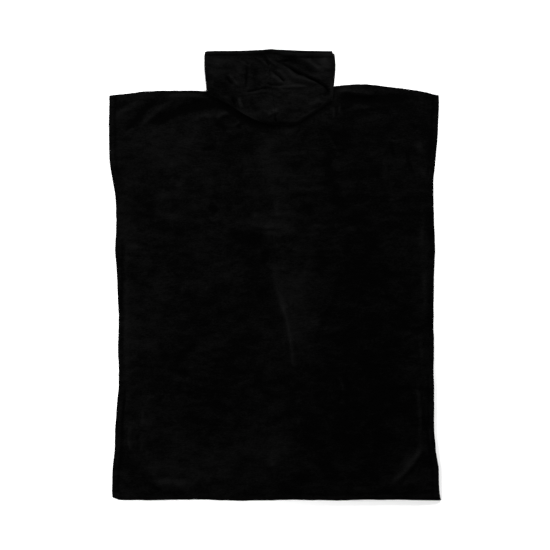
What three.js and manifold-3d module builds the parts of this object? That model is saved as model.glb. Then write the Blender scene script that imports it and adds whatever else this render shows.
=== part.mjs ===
/**
 * Hooded bath poncho in velour terry, laid flat on its front with the hood turned down.
 *
 * Units are millimetres and +Z is up. The garment rests on z = 0. X runs across it, Y runs
 * from the foot hem up to the hood, and the origin is the middle of its outline.
 *
 * Layers from the surface up: the front panel, the back panel, the hood's folded layers, and
 * the two hood halves that show, joined along the hood's centre seam.
 */
import * as THREE from 'three';
import { mergeVertices } from 'three/addons/utils/BufferGeometryUtils.js';
import Module from 'manifold-3d';

// ---------------------------------------------------------------- driving dimensions

const CLOTH = 3; // thickness of the velour terry
const GAP = 0.3; // clearance between pieces that touch
const LOFT = 2.2; // how far the back panel stands off the front one where nothing presses it
const EDGE_FADE = 26; // width over which the loft and the folds die away at an edge
const HOOD_PRESS = 30; // width round the hood where the panel below it is pressed flat
const HOOD_RISE = 5; // how much higher the hood's folded layers are in the middle
const HOOD_ROUNDING = 46; // width over which the hood rounds down to its outline
const LAYER_GROOVE = 1.6; // depth of the groove between two layers at the hood's rim

const PANEL_TOP = CLOTH; // upper face of the front panel
const BACK_BOTTOM = PANEL_TOP + GAP; // lower face of the back panel where it is pressed down
const BACK_TOP = BACK_BOTTOM + CLOTH; // upper face of the back panel where it is pressed down
const HOOD_BOTTOM = BACK_TOP + GAP; // lower face of the hood's layers on the back panel
const HOOD_RIM = HOOD_BOTTOM + CLOTH; // upper face of the hood's layers at their outline

// Side edges of the body from the foot up. The insets say how far the back panel's own edge
// stays inside the front panel's, which shows below it.
const BODY_SIDES = [
  { y: -583, left: -405, right: 430, leftInset: 3, rightInset: 5 },
  { y: -575, left: -420, right: 429, leftInset: 3, rightInset: 5 },
  { y: -560, left: -422, right: 425, leftInset: 2, rightInset: 3 },
  { y: -500, left: -421, right: 424, leftInset: 2, rightInset: 2 },
  { y: -455, left: -415, right: 416, leftInset: 1, rightInset: 2 },
  { y: -400, left: -414, right: 412, leftInset: 1, rightInset: 2 },
  { y: -347, left: -410, right: 412, leftInset: 2, rightInset: 1 },
  { y: -292, left: -405, right: 412, leftInset: 1, rightInset: 1 },
  { y: -245, left: -404, right: 410, leftInset: 1, rightInset: 0 },
  { y: -191, left: -407, right: 412, leftInset: 1, rightInset: 1 },
  { y: -120, left: -404, right: 410, leftInset: 0, rightInset: 1 },
  { y: -50, left: -407, right: 411, leftInset: 1, rightInset: 1 },
  { y: 10, left: -410, right: 412, leftInset: 1, rightInset: 1 },
  { y: 65, left: -414, right: 415, leftInset: 1, rightInset: 2 },
  { y: 137, left: -410, right: 412, leftInset: 0, rightInset: 1 },
  { y: 200, left: -413, right: 410, leftInset: 1, rightInset: 0 },
  { y: 246, left: -420, right: 410, leftInset: 1, rightInset: 1 },
  { y: 285, left: -427, right: 414, leftInset: 2, rightInset: 2 },
  { y: 339, left: -430, right: 420, leftInset: 2, rightInset: 2 },
  { y: 402, left: -430, right: 423, leftInset: 1, rightInset: 2 },
  { y: 440, left: -429, right: 425, leftInset: 1, rightInset: 1 },
  { y: 464, left: -428, right: 423, leftInset: 0, rightInset: 0 },
];

// Foot hem from left to right, with how far the back panel stays above the front one.
const FOOT_HEM = [
  { x: -430, y: -581, inset: 2 },
  { x: -330, y: -583, inset: 1 },
  { x: -210, y: -581, inset: 2 },
  { x: -90, y: -584, inset: 3 },
  { x: 40, y: -582, inset: 2 },
  { x: 160, y: -583, inset: 1 },
  { x: 290, y: -581, inset: 2 },
  { x: 380, y: -583, inset: 4 },
  { x: 430, y: -580, inset: 5 },
];

// Shoulder line from left to right. The back neckline is shallow and lies under the hood.
const SHOULDER_LINE = [
  { x: -430, y: 464 },
  { x: -384, y: 469 },
  { x: -332, y: 475 },
  { x: -228, y: 477 },
  { x: -178, y: 475 },
  { x: -110, y: 462 },
  { x: -13, y: 452 },
  { x: 90, y: 468 },
  { x: 155, y: 488 },
  { x: 241, y: 493 },
  { x: 313, y: 485 },
  { x: 386, y: 475 },
  { x: 430, y: 464 },
];

// The front neckline between the same shoulders, cut deeper than the back one.
const FRONT_NECK = [
  { x: -140, y: 467 },
  { x: -112, y: 446 },
  { x: -70, y: 408 },
  { x: -13, y: 394 },
  { x: 45, y: 410 },
  { x: 92, y: 452 },
  { x: 122, y: 478 },
];
const NECK_STEPS = 16;

// Outline and centre seam of the turned-down hood, from its crown up to the face opening.
const HOOD_SIDES = [
  { y: 384, left: -176, seam: 6, right: 148 },
  { y: 415, left: -176, seam: 0, right: 148 },
  { y: 451, left: -176, seam: -10, right: 148 },
  { y: 475, left: -177, seam: -14, right: 151 },
  { y: 511, left: -181, seam: -20, right: 155 },
  { y: 537, left: -183, seam: -20, right: 157 },
  { y: 560, left: -183, seam: -14, right: 156 },
  { y: 573, left: -183, seam: -10, right: 154 },
  { y: 584, left: -180, seam: -7, right: 151 },
];
const HOOD_CROWN = [
  { x: -180, y: 472 },
  { x: -155, y: 459 },
  { x: -121, y: 440 },
  { x: -103, y: 426 },
  { x: -84, y: 412 },
  { x: -64, y: 401 },
  { x: -36, y: 391 },
  { x: 2, y: 387 },
  { x: 40, y: 390 },
  { x: 66, y: 399 },
  { x: 100, y: 418 },
  { x: 152, y: 448 },
];
const HOOD_OPENING = [
  { x: -180, y: 580 },
  { x: -90, y: 581 },
  { x: -9, y: 584 },
  { x: 70, y: 581 },
  { x: 152, y: 580 },
];

// Largest folds of the back panel: a path along each, its width, and how far it rises.
const BACK_FOLDS = [
  { name: 'left shoulder roll', path: [[-190, 470], [-290, 463], [-352, 424]], width: 30, rise: 3.5 },
  { name: 'left inner dip', path: [[-181, 450], [-262, 426], [-311, 381]], width: 28, rise: -2.2 },
  { name: 'left middle ridge', path: [[-262, 452], [-300, 428], [-345, 385]], width: 28, rise: 3.5 },
  { name: 'left outer dip', path: [[-306, 456], [-337, 428], [-384, 376]], width: 24, rise: -2 },
  { name: 'left cuff ridge', path: [[-352, 448], [-385, 410], [-404, 360]], width: 30, rise: 3 },
  { name: 'right shoulder roll', path: [[160, 474], [240, 478], [330, 474], [400, 458]], width: 28, rise: 4 },
  { name: 'right shoulder dip', path: [[157, 451], [235, 446], [360, 458]], width: 26, rise: -2.2 },
  { name: 'right neck crease', path: [[134, 371], [165, 311]], width: 22, rise: -2 },
  { name: 'right long hollow', path: [[150, 340], [168, 240], [183, 142]], width: 54, rise: -1.8 },
  { name: 'upper cross ripple', path: [[-32, 300], [60, 296], [144, 302]], width: 26, rise: 2.2 },
  { name: 'middle cross ripple', path: [[-30, 222], [50, 216], [140, 226]], width: 28, rise: 2.4 },
  { name: 'waist ridge', path: [[-64, 116], [40, 122], [144, 114]], width: 34, rise: 3.6 },
  { name: 'waist hollow', path: [[-77, 82], [-30, 74], [4, 66]], width: 52, rise: -2.2 },
  { name: 'centre ridge', path: [[-7, 64], [9, -40], [35, -144], [61, -261]], width: 36, rise: 4.6 },
  { name: 'centre leaf', path: [[110, 10], [104, -80], [88, -180]], width: 130, rise: 2.2 },
  { name: 'right side ridge', path: [[372, 272], [384, 60], [381, -469]], width: 30, rise: 3.4 },
  { name: 'right foot roll', path: [[381, -469], [354, -498], [295, -534]], width: 34, rise: 3.8 },
  { name: 'right side hollow', path: [[345, 323], [348, 210], [345, 103]], width: 40, rise: -1.8 },
  { name: 'left side groove', path: [[-380, 116], [-382, -200], [-378, -482]], width: 26, rise: -1.8 },
  { name: 'left foot groove', path: [[-390, -488], [-350, -529], [-298, -560]], width: 28, rise: -1.8 },
];

// Largest folds of the hood as it lies.
const HOOD_FOLDS = [
  { name: 'main crease', path: [[-33, 564], [22, 545], [66, 516], [140, 462]], width: 30, rise: -4 },
  { name: 'main ridge', path: [[8, 528], [56, 504], [105, 482]], width: 40, rise: 4 },
  { name: 'upper ridge', path: [[87, 552], [124, 522], [142, 500]], width: 34, rise: 3 },
  { name: 'short crease', path: [[-17, 547], [1, 519], [27, 495]], width: 22, rise: -2.5 },
  { name: 'upright crease', path: [[-70, 547], [-75, 472]], width: 26, rise: -2.5 },
  { name: 'cross crease', path: [[-79, 469], [-12, 480], [9, 488]], width: 24, rise: -2.5 },
  { name: 'left crease', path: [[-121, 511], [-100, 485]], width: 26, rise: -2.5 },
  { name: 'crown roll', path: [[-96, 440], [-64, 418], [-38, 404]], width: 34, rise: 2.5 },
];

// Lattice lines, closer together where the folds are narrow: from, to and how many steps.
const LEFT_COLUMN = -430;
const RIGHT_COLUMN = 430;
const FOOT_ROW = -583;
const SHOULDER_ROW = 470;
const BODY_COLUMNS = [
  { from: LEFT_COLUMN, to: -364, steps: 4 },
  { from: -364, to: -178, steps: 8 },
  { from: -178, to: 156, steps: 11 },
  { from: 156, to: 354, steps: 7 },
  { from: 354, to: RIGHT_COLUMN, steps: 4 },
];
const BODY_ROWS = [
  { from: FOOT_ROW, to: -568, steps: 2 },
  { from: -568, to: -480, steps: 4 },
  { from: -480, to: 60, steps: 13 },
  { from: 60, to: 340, steps: 10 },
  { from: 340, to: SHOULDER_ROW, steps: 8 },
];
const HOOD_HALF_STEPS = 9;
const HOOD_ROWS = 11;

// ---------------------------------------------------------------- measuring helpers

const mix = (a, b, share) => a + (b - a) * share;

const smooth = (value, width) => THREE.MathUtils.smoothstep(value, 0, width);

/** The value of one column of a table at a place along another, on a smooth curve through its rows. */
function along(rows, place, column, at) {
  const last = rows.length - 1;
  const position = THREE.MathUtils.clamp(at, rows[0][place], rows[last][place]);
  let k = 0;
  while (k < last - 1 && rows[k + 1][place] < position) k += 1;
  const slope = (i) => {
    const before = rows[Math.max(i - 1, 0)];
    const after = rows[Math.min(i + 1, last)];
    return (after[column] - before[column]) / (after[place] - before[place]);
  };
  const span = rows[k + 1][place] - rows[k][place];
  const t = (position - rows[k][place]) / span;
  const fromStart = rows[k][column] * (1 + 2 * t) * (1 - t) ** 2 + slope(k) * span * t * (1 - t) ** 2;
  const fromEnd = rows[k + 1][column] * t * t * (3 - 2 * t) - slope(k + 1) * span * t * t * (1 - t);
  return fromStart + fromEnd;
}

/** All positions of a list of stretches, each divided into equal steps. */
function stations(stretches) {
  const found = [stretches[0].from];
  for (const { from, to, steps } of stretches) {
    for (let k = 1; k <= steps; k += 1) found.push(mix(from, to, k / steps));
  }
  return found;
}

/** Distance from a point to a path of straight stretches. */
function distanceToPath(path, x, y) {
  let nearest = Infinity;
  for (let k = 1; k < path.length; k += 1) {
    const [ax, ay] = path[k - 1];
    const [bx, by] = path[k];
    const length2 = (bx - ax) ** 2 + (by - ay) ** 2;
    const t = THREE.MathUtils.clamp(((x - ax) * (bx - ax) + (y - ay) * (by - ay)) / length2, 0, 1);
    nearest = Math.min(nearest, Math.hypot(x - mix(ax, bx, t), y - mix(ay, by, t)));
  }
  return nearest;
}

/** Height that a table of folds adds at a point: each is a soft bell across its path. */
function foldHeight(folds, x, y) {
  let height = 0;
  for (const fold of folds) {
    const share = distanceToPath(fold.path, x, y) / (fold.width / 2);
    if (share < 1) height += fold.rise * (1 - share * share) ** 2;
  }
  return height;
}

// ---------------------------------------------------------------- outlines

const frontLeft = (y) => along(BODY_SIDES, 'y', 'left', y);
const frontRight = (y) => along(BODY_SIDES, 'y', 'right', y);
const backLeft = (y) => frontLeft(y) + along(BODY_SIDES, 'y', 'leftInset', y);
const backRight = (y) => frontRight(y) - along(BODY_SIDES, 'y', 'rightInset', y);
const frontFoot = (x) => along(FOOT_HEM, 'x', 'y', x);
const backFoot = (x) => frontFoot(x) + along(FOOT_HEM, 'x', 'inset', x);
const shoulder = (x) => along(SHOULDER_LINE, 'x', 'y', x);
const hoodCrown = (x) => along(HOOD_CROWN, 'x', 'y', x);
const hoodOpening = (x) => along(HOOD_OPENING, 'x', 'y', x);
const hoodLeft = (y) => along(HOOD_SIDES, 'y', 'left', y);
const hoodSeam = (y) => along(HOOD_SIDES, 'y', 'seam', y);
const hoodRight = (y) => along(HOOD_SIDES, 'y', 'right', y);

/** Where the back panel's lattice point lies for nominal x and y. */
function backPoint(column, row) {
  const y = mix(backFoot(column), shoulder(column), (row - FOOT_ROW) / (SHOULDER_ROW - FOOT_ROW));
  const share = (column - LEFT_COLUMN) / (RIGHT_COLUMN - LEFT_COLUMN);
  return { x: mix(backLeft(y), backRight(y), share), y };
}

/** Where a hood lattice point lies between two upright lines, for shares across and up. */
function hoodPoint(lowLine, highLine, across, up) {
  const middle = (hoodCrown(0) + hoodOpening(0)) / 2;
  const nominal = mix(lowLine(middle), highLine(middle), across);
  const y = mix(hoodCrown(nominal), hoodOpening(nominal), up);
  return { x: mix(lowLine(y), highLine(y), across), y };
}

/** Distance inside the hood's outline, negative outside it. */
function insideHood(x, y) {
  const CROWN_SLOPE = 0.85; // turns a height above the slanting crown into a distance from it
  const above = (y - hoodCrown(x)) * CROWN_SLOPE;
  return Math.min(x - hoodLeft(y), hoodRight(y) - x, hoodOpening(x) - y, above);
}

/** Distance inside the back panel's outline. */
function insideBack(x, y) {
  return Math.min(x - backLeft(y), backRight(y) - x, y - backFoot(x), shoulder(x) - y);
}

// ---------------------------------------------------------------- surfaces

/** Foot of the cloth in the back panel: pressed flat at its edges and under the hood, else lofted. */
function backRise(x, y) {
  const pressed = smooth(-insideHood(x, y) - HOOD_PRESS, EDGE_FADE);
  const edge = smooth(insideBack(x, y), EDGE_FADE);
  const lift = Math.max(0, LOFT + foldHeight(BACK_FOLDS, x, y));
  return BACK_BOTTOM + lift * pressed * edge;
}

/** Upper face of the hood's folded layers, which the two halves that show lie on. */
function hoodLayersTop(x, y) {
  const inside = Math.max(0, insideHood(x, y));
  const rounding = Math.sqrt(smooth(inside, HOOD_ROUNDING));
  const lift = HOOD_RISE + foldHeight(HOOD_FOLDS, x, y);
  return HOOD_RIM + Math.max(0, lift) * rounding;
}

// ---------------------------------------------------------------- meshes

/** A grid of plan points, one list for each column. */
function lattice(columns, rows, place) {
  return columns.map((column) => rows.map((row) => place(column, row)));
}

/** The lattice's outline, anticlockwise from above. */
function outline(grid) {
  const lastColumn = grid.length - 1;
  const lastRow = grid[0].length - 1;
  const foot = grid.slice(0, lastColumn).map((column) => column[0]);
  const right = grid[lastColumn].slice(0, lastRow);
  const top = grid.slice(1).map((column) => column[lastRow]).reverse();
  const left = grid[0].slice(1).reverse();
  return [...foot, ...right, ...top, ...left];
}

/** Closed mesh from a list of triangles, each three points. */
function meshOf(triangles) {
  const geometry = new THREE.BufferGeometry();
  const numbers = triangles.flat().flatMap(({ x, y, z }) => [x, y, z]);
  geometry.setAttribute('position', new THREE.Float32BufferAttribute(numbers, 3));
  return mergeVertices(geometry, 1e-4);
}

/** Two triangles across four corners. */
function quad(a, b, c, d) {
  return [[a, b, c], [a, c, d]];
}

/**
 * Cloth between two faces over one lattice. The rim goes straight up, or through rings given as
 * a height and how far the rim draws in there.
 */
function wall(grid, upper, lower, rings = []) {
  const raised = (point, face) => ({ x: point.x, y: point.y, z: face(point.x, point.y) });
  const triangles = [];
  for (let i = 0; i + 1 < grid.length; i += 1) {
    for (let j = 0; j + 1 < grid[0].length; j += 1) {
      const corners = [grid[i][j], grid[i + 1][j], grid[i + 1][j + 1], grid[i][j + 1]];
      triangles.push(...quad(...corners.map((point) => raised(point, upper))));
      const below = corners.map((point) => raised(point, lower));
      triangles.push(...quad(below[0], below[1], below[2], below[3]).map(([a, b, c]) => [a, c, b]));
    }
  }
  const edge = outline(grid);
  const inward = edge.map((point, k) => {
    const before = edge[(k + edge.length - 1) % edge.length];
    const after = edge[(k + 1) % edge.length];
    return new THREE.Vector2(before.y - after.y, after.x - before.x).normalize();
  });
  const levels = [
    edge.map((point) => raised(point, lower)),
    ...rings.map(({ height, draw }) =>
      edge.map((point, k) => ({
        x: point.x + inward[k].x * draw,
        y: point.y + inward[k].y * draw,
        z: height,
      })),
    ),
    edge.map((point) => raised(point, upper)),
  ];
  for (let level = 1; level < levels.length; level += 1) {
    const [low, high] = [levels[level - 1], levels[level]];
    for (let k = 0; k < edge.length; k += 1) {
      const next = (k + 1) % edge.length;
      triangles.push(...quad(low[k], low[next], high[next], high[k]));
    }
  }
  return meshOf(triangles);
}

/** Flat cloth cut to an outline and laid from one height to another. */
function flatPiece(points, from, to) {
  const shape = new THREE.Shape(points.map(({ x, y }) => new THREE.Vector2(x, y)));
  const geometry = new THREE.ExtrudeGeometry(shape, { depth: to - from, bevelEnabled: false });
  geometry.deleteAttribute('normal');
  geometry.deleteAttribute('uv');
  geometry.translate(0, 0, from);
  return mergeVertices(geometry, 1e-4);
}

const wasm = await Module();
wasm.setup();

/** One closed mesh less another. */
function cutAway(geometry, tool) {
  const solid = ({ attributes, index }) =>
    new wasm.Manifold(
      new wasm.Mesh({
        numProp: 3,
        vertProperties: attributes.position.array,
        triVerts: Uint32Array.from(index.array),
      }),
    );
  const { vertProperties, triVerts } = solid(geometry).subtract(solid(tool)).getMesh();
  const result = new THREE.BufferGeometry();
  result.setAttribute('position', new THREE.BufferAttribute(vertProperties, 3));
  result.setIndex(new THREE.BufferAttribute(triVerts, 1));
  return result;
}

// ---------------------------------------------------------------- pieces

/** The under layer: flat on the surface, with the deeper neckline. */
function frontPanel() {
  const [neckLeft, neckRight] = [FRONT_NECK[0].x, FRONT_NECK[FRONT_NECK.length - 1].x];
  const sides = BODY_SIDES.map((row) => row.y);
  const foot = FOOT_HEM.slice(1, -1);
  const right = sides.map((y) => ({ x: frontRight(y), y }));
  const left = sides.map((y) => ({ x: frontLeft(y), y }));
  const shoulders = SHOULDER_LINE.slice(1, -1);
  const neck = stations([{ from: neckLeft, to: neckRight, steps: NECK_STEPS }]);
  const top = [
    ...shoulders.filter(({ x }) => x < neckLeft),
    ...neck.map((x) => ({ x, y: along(FRONT_NECK, 'x', 'y', x) })),
    ...shoulders.filter(({ x }) => x > neckRight),
  ];
  return flatPiece([...foot, ...right, ...top.reverse(), ...left.reverse()], 0, CLOTH);
}

/** The upper layer with the folds that show, as one solid that fills the hollows under them. */
function backPanel() {
  const grid = lattice(stations(BODY_COLUMNS), stations(BODY_ROWS), backPoint);
  return wall(grid, (x, y) => backRise(x, y) + CLOTH, () => BACK_BOTTOM);
}

/** One half of the hood, from one upright line to another, over the folded layers. */
function hoodHalf(lowLine, highLine) {
  const shares = stations([{ from: 0, to: 1, steps: HOOD_HALF_STEPS }]);
  const heights = stations([{ from: 0, to: 1, steps: HOOD_ROWS }]);
  const grid = lattice(shares, heights, (across, up) => hoodPoint(lowLine, highLine, across, up));
  const underside = (x, y) => hoodLayersTop(x, y) + GAP;
  return wall(grid, (x, y) => underside(x, y) + CLOTH, underside);
}

/** The hood's folded layers as one solid, stepped over the body and grooved between layers. */
function hoodLayers() {
  const shares = stations([{ from: 0, to: 1, steps: HOOD_HALF_STEPS }]);
  const heights = stations([{ from: 0, to: 1, steps: HOOD_ROWS }]);
  const half = (low, high) => lattice(shares, heights, (across, up) => hoodPoint(low, high, across, up));
  const grid = [...half(hoodLeft, hoodSeam), ...half(hoodSeam, hoodRight).slice(1)];
  const rings = [BACK_BOTTOM, HOOD_BOTTOM].flatMap((height) => [
    { height: height - GAP, draw: 0 },
    { height: height - GAP / 2, draw: LAYER_GROOVE },
    { height, draw: 0 },
  ]);
  const solid = wall(grid, hoodLayersTop, () => 0, rings);
  const REACH = 60; // how far the cut runs past the hood on each side
  const edge = stations(BODY_COLUMNS).map((column) => backPoint(column, SHOULDER_ROW));
  const near = edge.filter(({ x }) => Math.abs(x) < hoodRight(SHOULDER_ROW) + REACH);
  const shoulders = near.map(({ x, y }) => ({ x, y: y + GAP }));
  const [first, last] = [shoulders[0], shoulders[shoulders.length - 1]];
  const below = hoodCrown(0) - REACH;
  const body = [{ x: first.x, y: below }, { x: last.x, y: below }, ...shoulders.reverse()];
  return cutAway(solid, flatPiece(body, -CLOTH, HOOD_BOTTOM));
}

/** A finished piece of velour terry. */
function piece(name, geometry) {
  const velour = new THREE.MeshStandardMaterial({ color: 0x0b0b0b, roughness: 0.95, metalness: 0 });
  const mesh = new THREE.Mesh(geometry, velour);
  mesh.name = name;
  return mesh;
}

const leftOfSeam = (y) => hoodSeam(y) - GAP / 2;
const rightOfSeam = (y) => hoodSeam(y) + GAP / 2;

const poncho = new THREE.Group();
poncho.add(
  piece('front_panel', frontPanel()),
  piece('back_panel', backPanel()),
  piece('hood_under_layers', hoodLayers()),
  piece('hood_left', hoodHalf(hoodLeft, leftOfSeam)),
  piece('hood_right', hoodHalf(rightOfSeam, hoodRight)),
);

export default poncho;
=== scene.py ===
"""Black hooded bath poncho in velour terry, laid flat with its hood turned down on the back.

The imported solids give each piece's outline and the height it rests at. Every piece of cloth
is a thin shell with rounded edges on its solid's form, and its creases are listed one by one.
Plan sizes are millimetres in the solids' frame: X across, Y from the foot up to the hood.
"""

import logging
import math
from collections.abc import Callable, Sequence
from dataclasses import dataclass, field
from enum import Enum

import bpy
import numpy as np
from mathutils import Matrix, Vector
from mathutils.bvhtree import BVHTree


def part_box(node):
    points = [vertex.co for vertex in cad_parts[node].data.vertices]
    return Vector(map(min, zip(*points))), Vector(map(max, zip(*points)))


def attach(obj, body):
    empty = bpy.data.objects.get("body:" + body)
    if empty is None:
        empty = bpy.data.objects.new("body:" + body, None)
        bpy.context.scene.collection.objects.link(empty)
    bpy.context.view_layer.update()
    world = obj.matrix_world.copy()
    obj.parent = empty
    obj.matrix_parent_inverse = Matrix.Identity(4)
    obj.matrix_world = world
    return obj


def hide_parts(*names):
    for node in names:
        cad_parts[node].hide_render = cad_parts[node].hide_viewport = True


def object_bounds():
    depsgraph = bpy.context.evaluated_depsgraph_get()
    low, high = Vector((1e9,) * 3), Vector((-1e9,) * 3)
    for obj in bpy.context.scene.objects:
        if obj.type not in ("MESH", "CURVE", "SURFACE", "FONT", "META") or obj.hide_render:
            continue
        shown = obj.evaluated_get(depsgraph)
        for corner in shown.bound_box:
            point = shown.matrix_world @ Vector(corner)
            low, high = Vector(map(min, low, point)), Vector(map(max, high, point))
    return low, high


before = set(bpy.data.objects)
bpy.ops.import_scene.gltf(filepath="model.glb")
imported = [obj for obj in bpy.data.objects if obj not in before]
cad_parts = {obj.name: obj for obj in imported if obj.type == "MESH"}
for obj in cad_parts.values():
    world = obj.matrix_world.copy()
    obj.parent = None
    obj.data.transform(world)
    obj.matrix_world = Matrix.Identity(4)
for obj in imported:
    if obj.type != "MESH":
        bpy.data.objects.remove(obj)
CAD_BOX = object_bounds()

LOG = logging.getLogger("poncho")
MM = 0.001
Array = np.ndarray
HeightMap = Callable[[Array, Array], Array]
Socket = bpy.types.NodeSocket
EDGE_LINES = (0.0, 0.25, 0.8, 1.7, 3.2, 5.5)  # a lattice's lines beside a rounded edge, in mm


class Held(Enum):
    """How a sheet of cloth is held."""

    LAID = "laid"
    FOLDED = "folded"


class Side(Enum):
    """A side of the garment as it lies, seen from above."""

    LEFT = "left"
    RIGHT = "right"


# ------------------------------------------------------------------ small helpers


def smooth_step(value: Array, start: float, end: float) -> Array:
    """Rise smoothly from 0 at start to 1 at end."""
    share = np.clip((value - start) / (end - start), 0, 1)
    return share * share * (3 - 2 * share)


def smooth_fall(value: Array, start: float, end: float) -> Array:
    """Fall smoothly from 1 at start to 0 at end."""
    return smooth_step(-value, -end, -start)


def rounding(distance: Array, radius: float | Array) -> Array:
    """Height share of a quarter round, from 0 at an edge to 1 one radius inside it."""
    share = np.clip(distance / radius, 0, 1)
    return np.sqrt(np.clip(1 - (1 - share) ** 2, 0, 1))


def through(points: Sequence[tuple[float, float]], pitch: float = 6.0) -> Array:
    """Lay a smooth curve through plan points.

    Args:
        points: Plan points in order.
        pitch: Rough distance between the points of the result.

    Returns:
        Points along the curve, one a row.
    """
    knots = np.array(points, float)
    knots = np.vstack([2 * knots[0] - knots[1], knots, 2 * knots[-1] - knots[-2]])
    pieces = []
    for a, b, c, d in zip(knots, knots[1:], knots[2:], knots[3:], strict=False):
        count = max(2, int(np.hypot(*(c - b)) / pitch) + 1)
        t = np.linspace(0, 1, count, endpoint=False)[:, None]
        curve = 2 * b + (c - a) * t + (2 * a - 5 * b + 4 * c - d) * t**2
        pieces.append((curve + (3 * b - a - 3 * c + d) * t**3) / 2)
    return np.vstack([*pieces, knots[-2]])


def way_along(path: Array) -> Array:
    """Give how far along a path each of its points lies."""
    return np.concatenate([[0], np.cumsum(np.hypot(*np.diff(path, axis=0).T))])


def measure_to(x: Array, y: Array, path: Array) -> tuple[Array, Array, Array]:
    """Measure every plan point against a path.

    Args:
        x: Plan x of the points.
        y: Plan y of the points.
        path: Points of the path, one a row.

    Returns:
        Distance to the path, the side of it (1 on its left), and the way along it from 0 to 1.
    """
    best = np.full(x.shape, np.inf)
    side = np.zeros(x.shape)
    way = np.zeros(x.shape)
    lengths = np.hypot(*np.diff(path, axis=0).T)
    starts = way_along(path)
    for k, length in enumerate(lengths):
        ax, ay = path[k]
        dx, dy = (path[k + 1] - path[k]) / length
        run = np.clip((x - ax) * dx + (y - ay) * dy, 0, length)
        px, py = x - ax - run * dx, y - ay - run * dy
        distance = np.hypot(px, py)
        near = distance < best
        best = np.where(near, distance, best)
        side = np.where(near, np.sign(dx * py - dy * px), side)
        way = np.where(near, (starts[k] + run) / starts[-1], way)
    return best, side, way


# ------------------------------------------------------------------ unevenness and creases


@dataclass(frozen=True)
class Unevenness:
    """Smooth seeded noise over the plan, about -1 to 1, for what is left to chance in cloth.

    Attributes:
        seed: Start of the random draws.
        size_mm: Distance between one rise and the next.
        layers: How many layers there are, each half the size and height of the one before.
        height: Factor on its height.
    """

    seed: int
    size_mm: float
    layers: int = 2
    height: float = 1.0

    CELLS = 64
    GAIN = 1.5  # brings gradient noise up to about -1 to 1
    SEED_STEP = 31  # keeps the draws of neighbouring seeds apart
    TURNS = (0.3, 1.2)  # between which the grid of a layer is turned, in radians

    def at(self, x: Array, y: Array) -> Array:
        """Give the unevenness at plan points."""
        total = np.zeros(np.shape(x))
        for layer in range(self.layers):
            total += self._layer(x, y, layer) / 2**layer
        return self.height * total

    def _layer(self, x: Array, y: Array, layer: int) -> Array:
        """Give one layer of gradient noise, its grid turned out of line with the cloth."""
        draws = np.random.default_rng(self.seed * self.SEED_STEP + layer)
        turns = draws.uniform(0, math.tau, (self.CELLS, self.CELLS))
        angle = draws.uniform(*self.TURNS)
        cell = self.size_mm / 2**layer
        u = (x * math.cos(angle) + y * math.sin(angle)) / cell
        v = (y * math.cos(angle) - x * math.sin(angle)) / cell
        whole_u, whole_v = np.floor(u).astype(int), np.floor(v).astype(int)
        part_u, part_v = u - whole_u, v - whole_v

        def corner(du: int, dv: int) -> Array:
            """Give the slope that one corner of the cell adds."""
            turn = turns[(whole_u + du) % self.CELLS, (whole_v + dv) % self.CELLS]
            return np.cos(turn) * (part_u - du) + np.sin(turn) * (part_v - dv)

        ease_u = part_u**3 * (part_u * (part_u * 6 - 15) + 10)
        ease_v = part_v**3 * (part_v * (part_v * 6 - 15) + 10)
        low = corner(0, 0) * (1 - ease_u) + corner(1, 0) * ease_u
        high = corner(0, 1) * (1 - ease_u) + corner(1, 1) * ease_u
        return self.GAIN * (low * (1 - ease_v) + high * ease_v)


def sum_at(parts: Sequence, x: Array, y: Array) -> Array:
    """Add up what several parts, each with its own at(x, y), give at plan points."""
    return sum(part.at(x, y) for part in parts)


@dataclass(frozen=True)
class Crease:
    """A soft trough or ridge along a path.

    Attributes:
        name: What it is on the garment.
        path: Plan points along its bottom or crest.
        width: Full width across it.
        rise: Height over the cloth beside it, negative for a trough.
        lean: From -1 to 1. A positive lean makes it steeper on the right of its path.
        soft: Exponent of its section: 2 is round, 1.2 is nearly sharp.
    """

    name: str
    path: tuple[tuple[float, float], ...]
    width: float
    rise: float
    lean: float = 0.0
    soft: float = 2.0

    FADE = (-0.02, 0.28)  # shares of its length between which each end dies away

    def at(self, x: Array, y: Array) -> Array:
        """Give the height it adds at plan points."""
        total = np.zeros(x.shape)
        line = through(self.path)
        reach = self.width * (1 + abs(self.lean)) / 2
        low, high = line.min(0) - reach, line.max(0) + reach
        near = (x > low[0]) & (x < high[0]) & (y > low[1]) & (y < high[1])
        if not near.any():
            return total
        distance, side, way = measure_to(x[near], y[near], line)
        share = np.clip(distance / (self.width / 2 * (1 + self.lean * side)), 0, 1)
        ends = smooth_step(np.minimum(way, 1 - way), *self.FADE)
        total[near] = self.rise * ends * (1 - share**self.soft) ** 2
        return total


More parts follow.
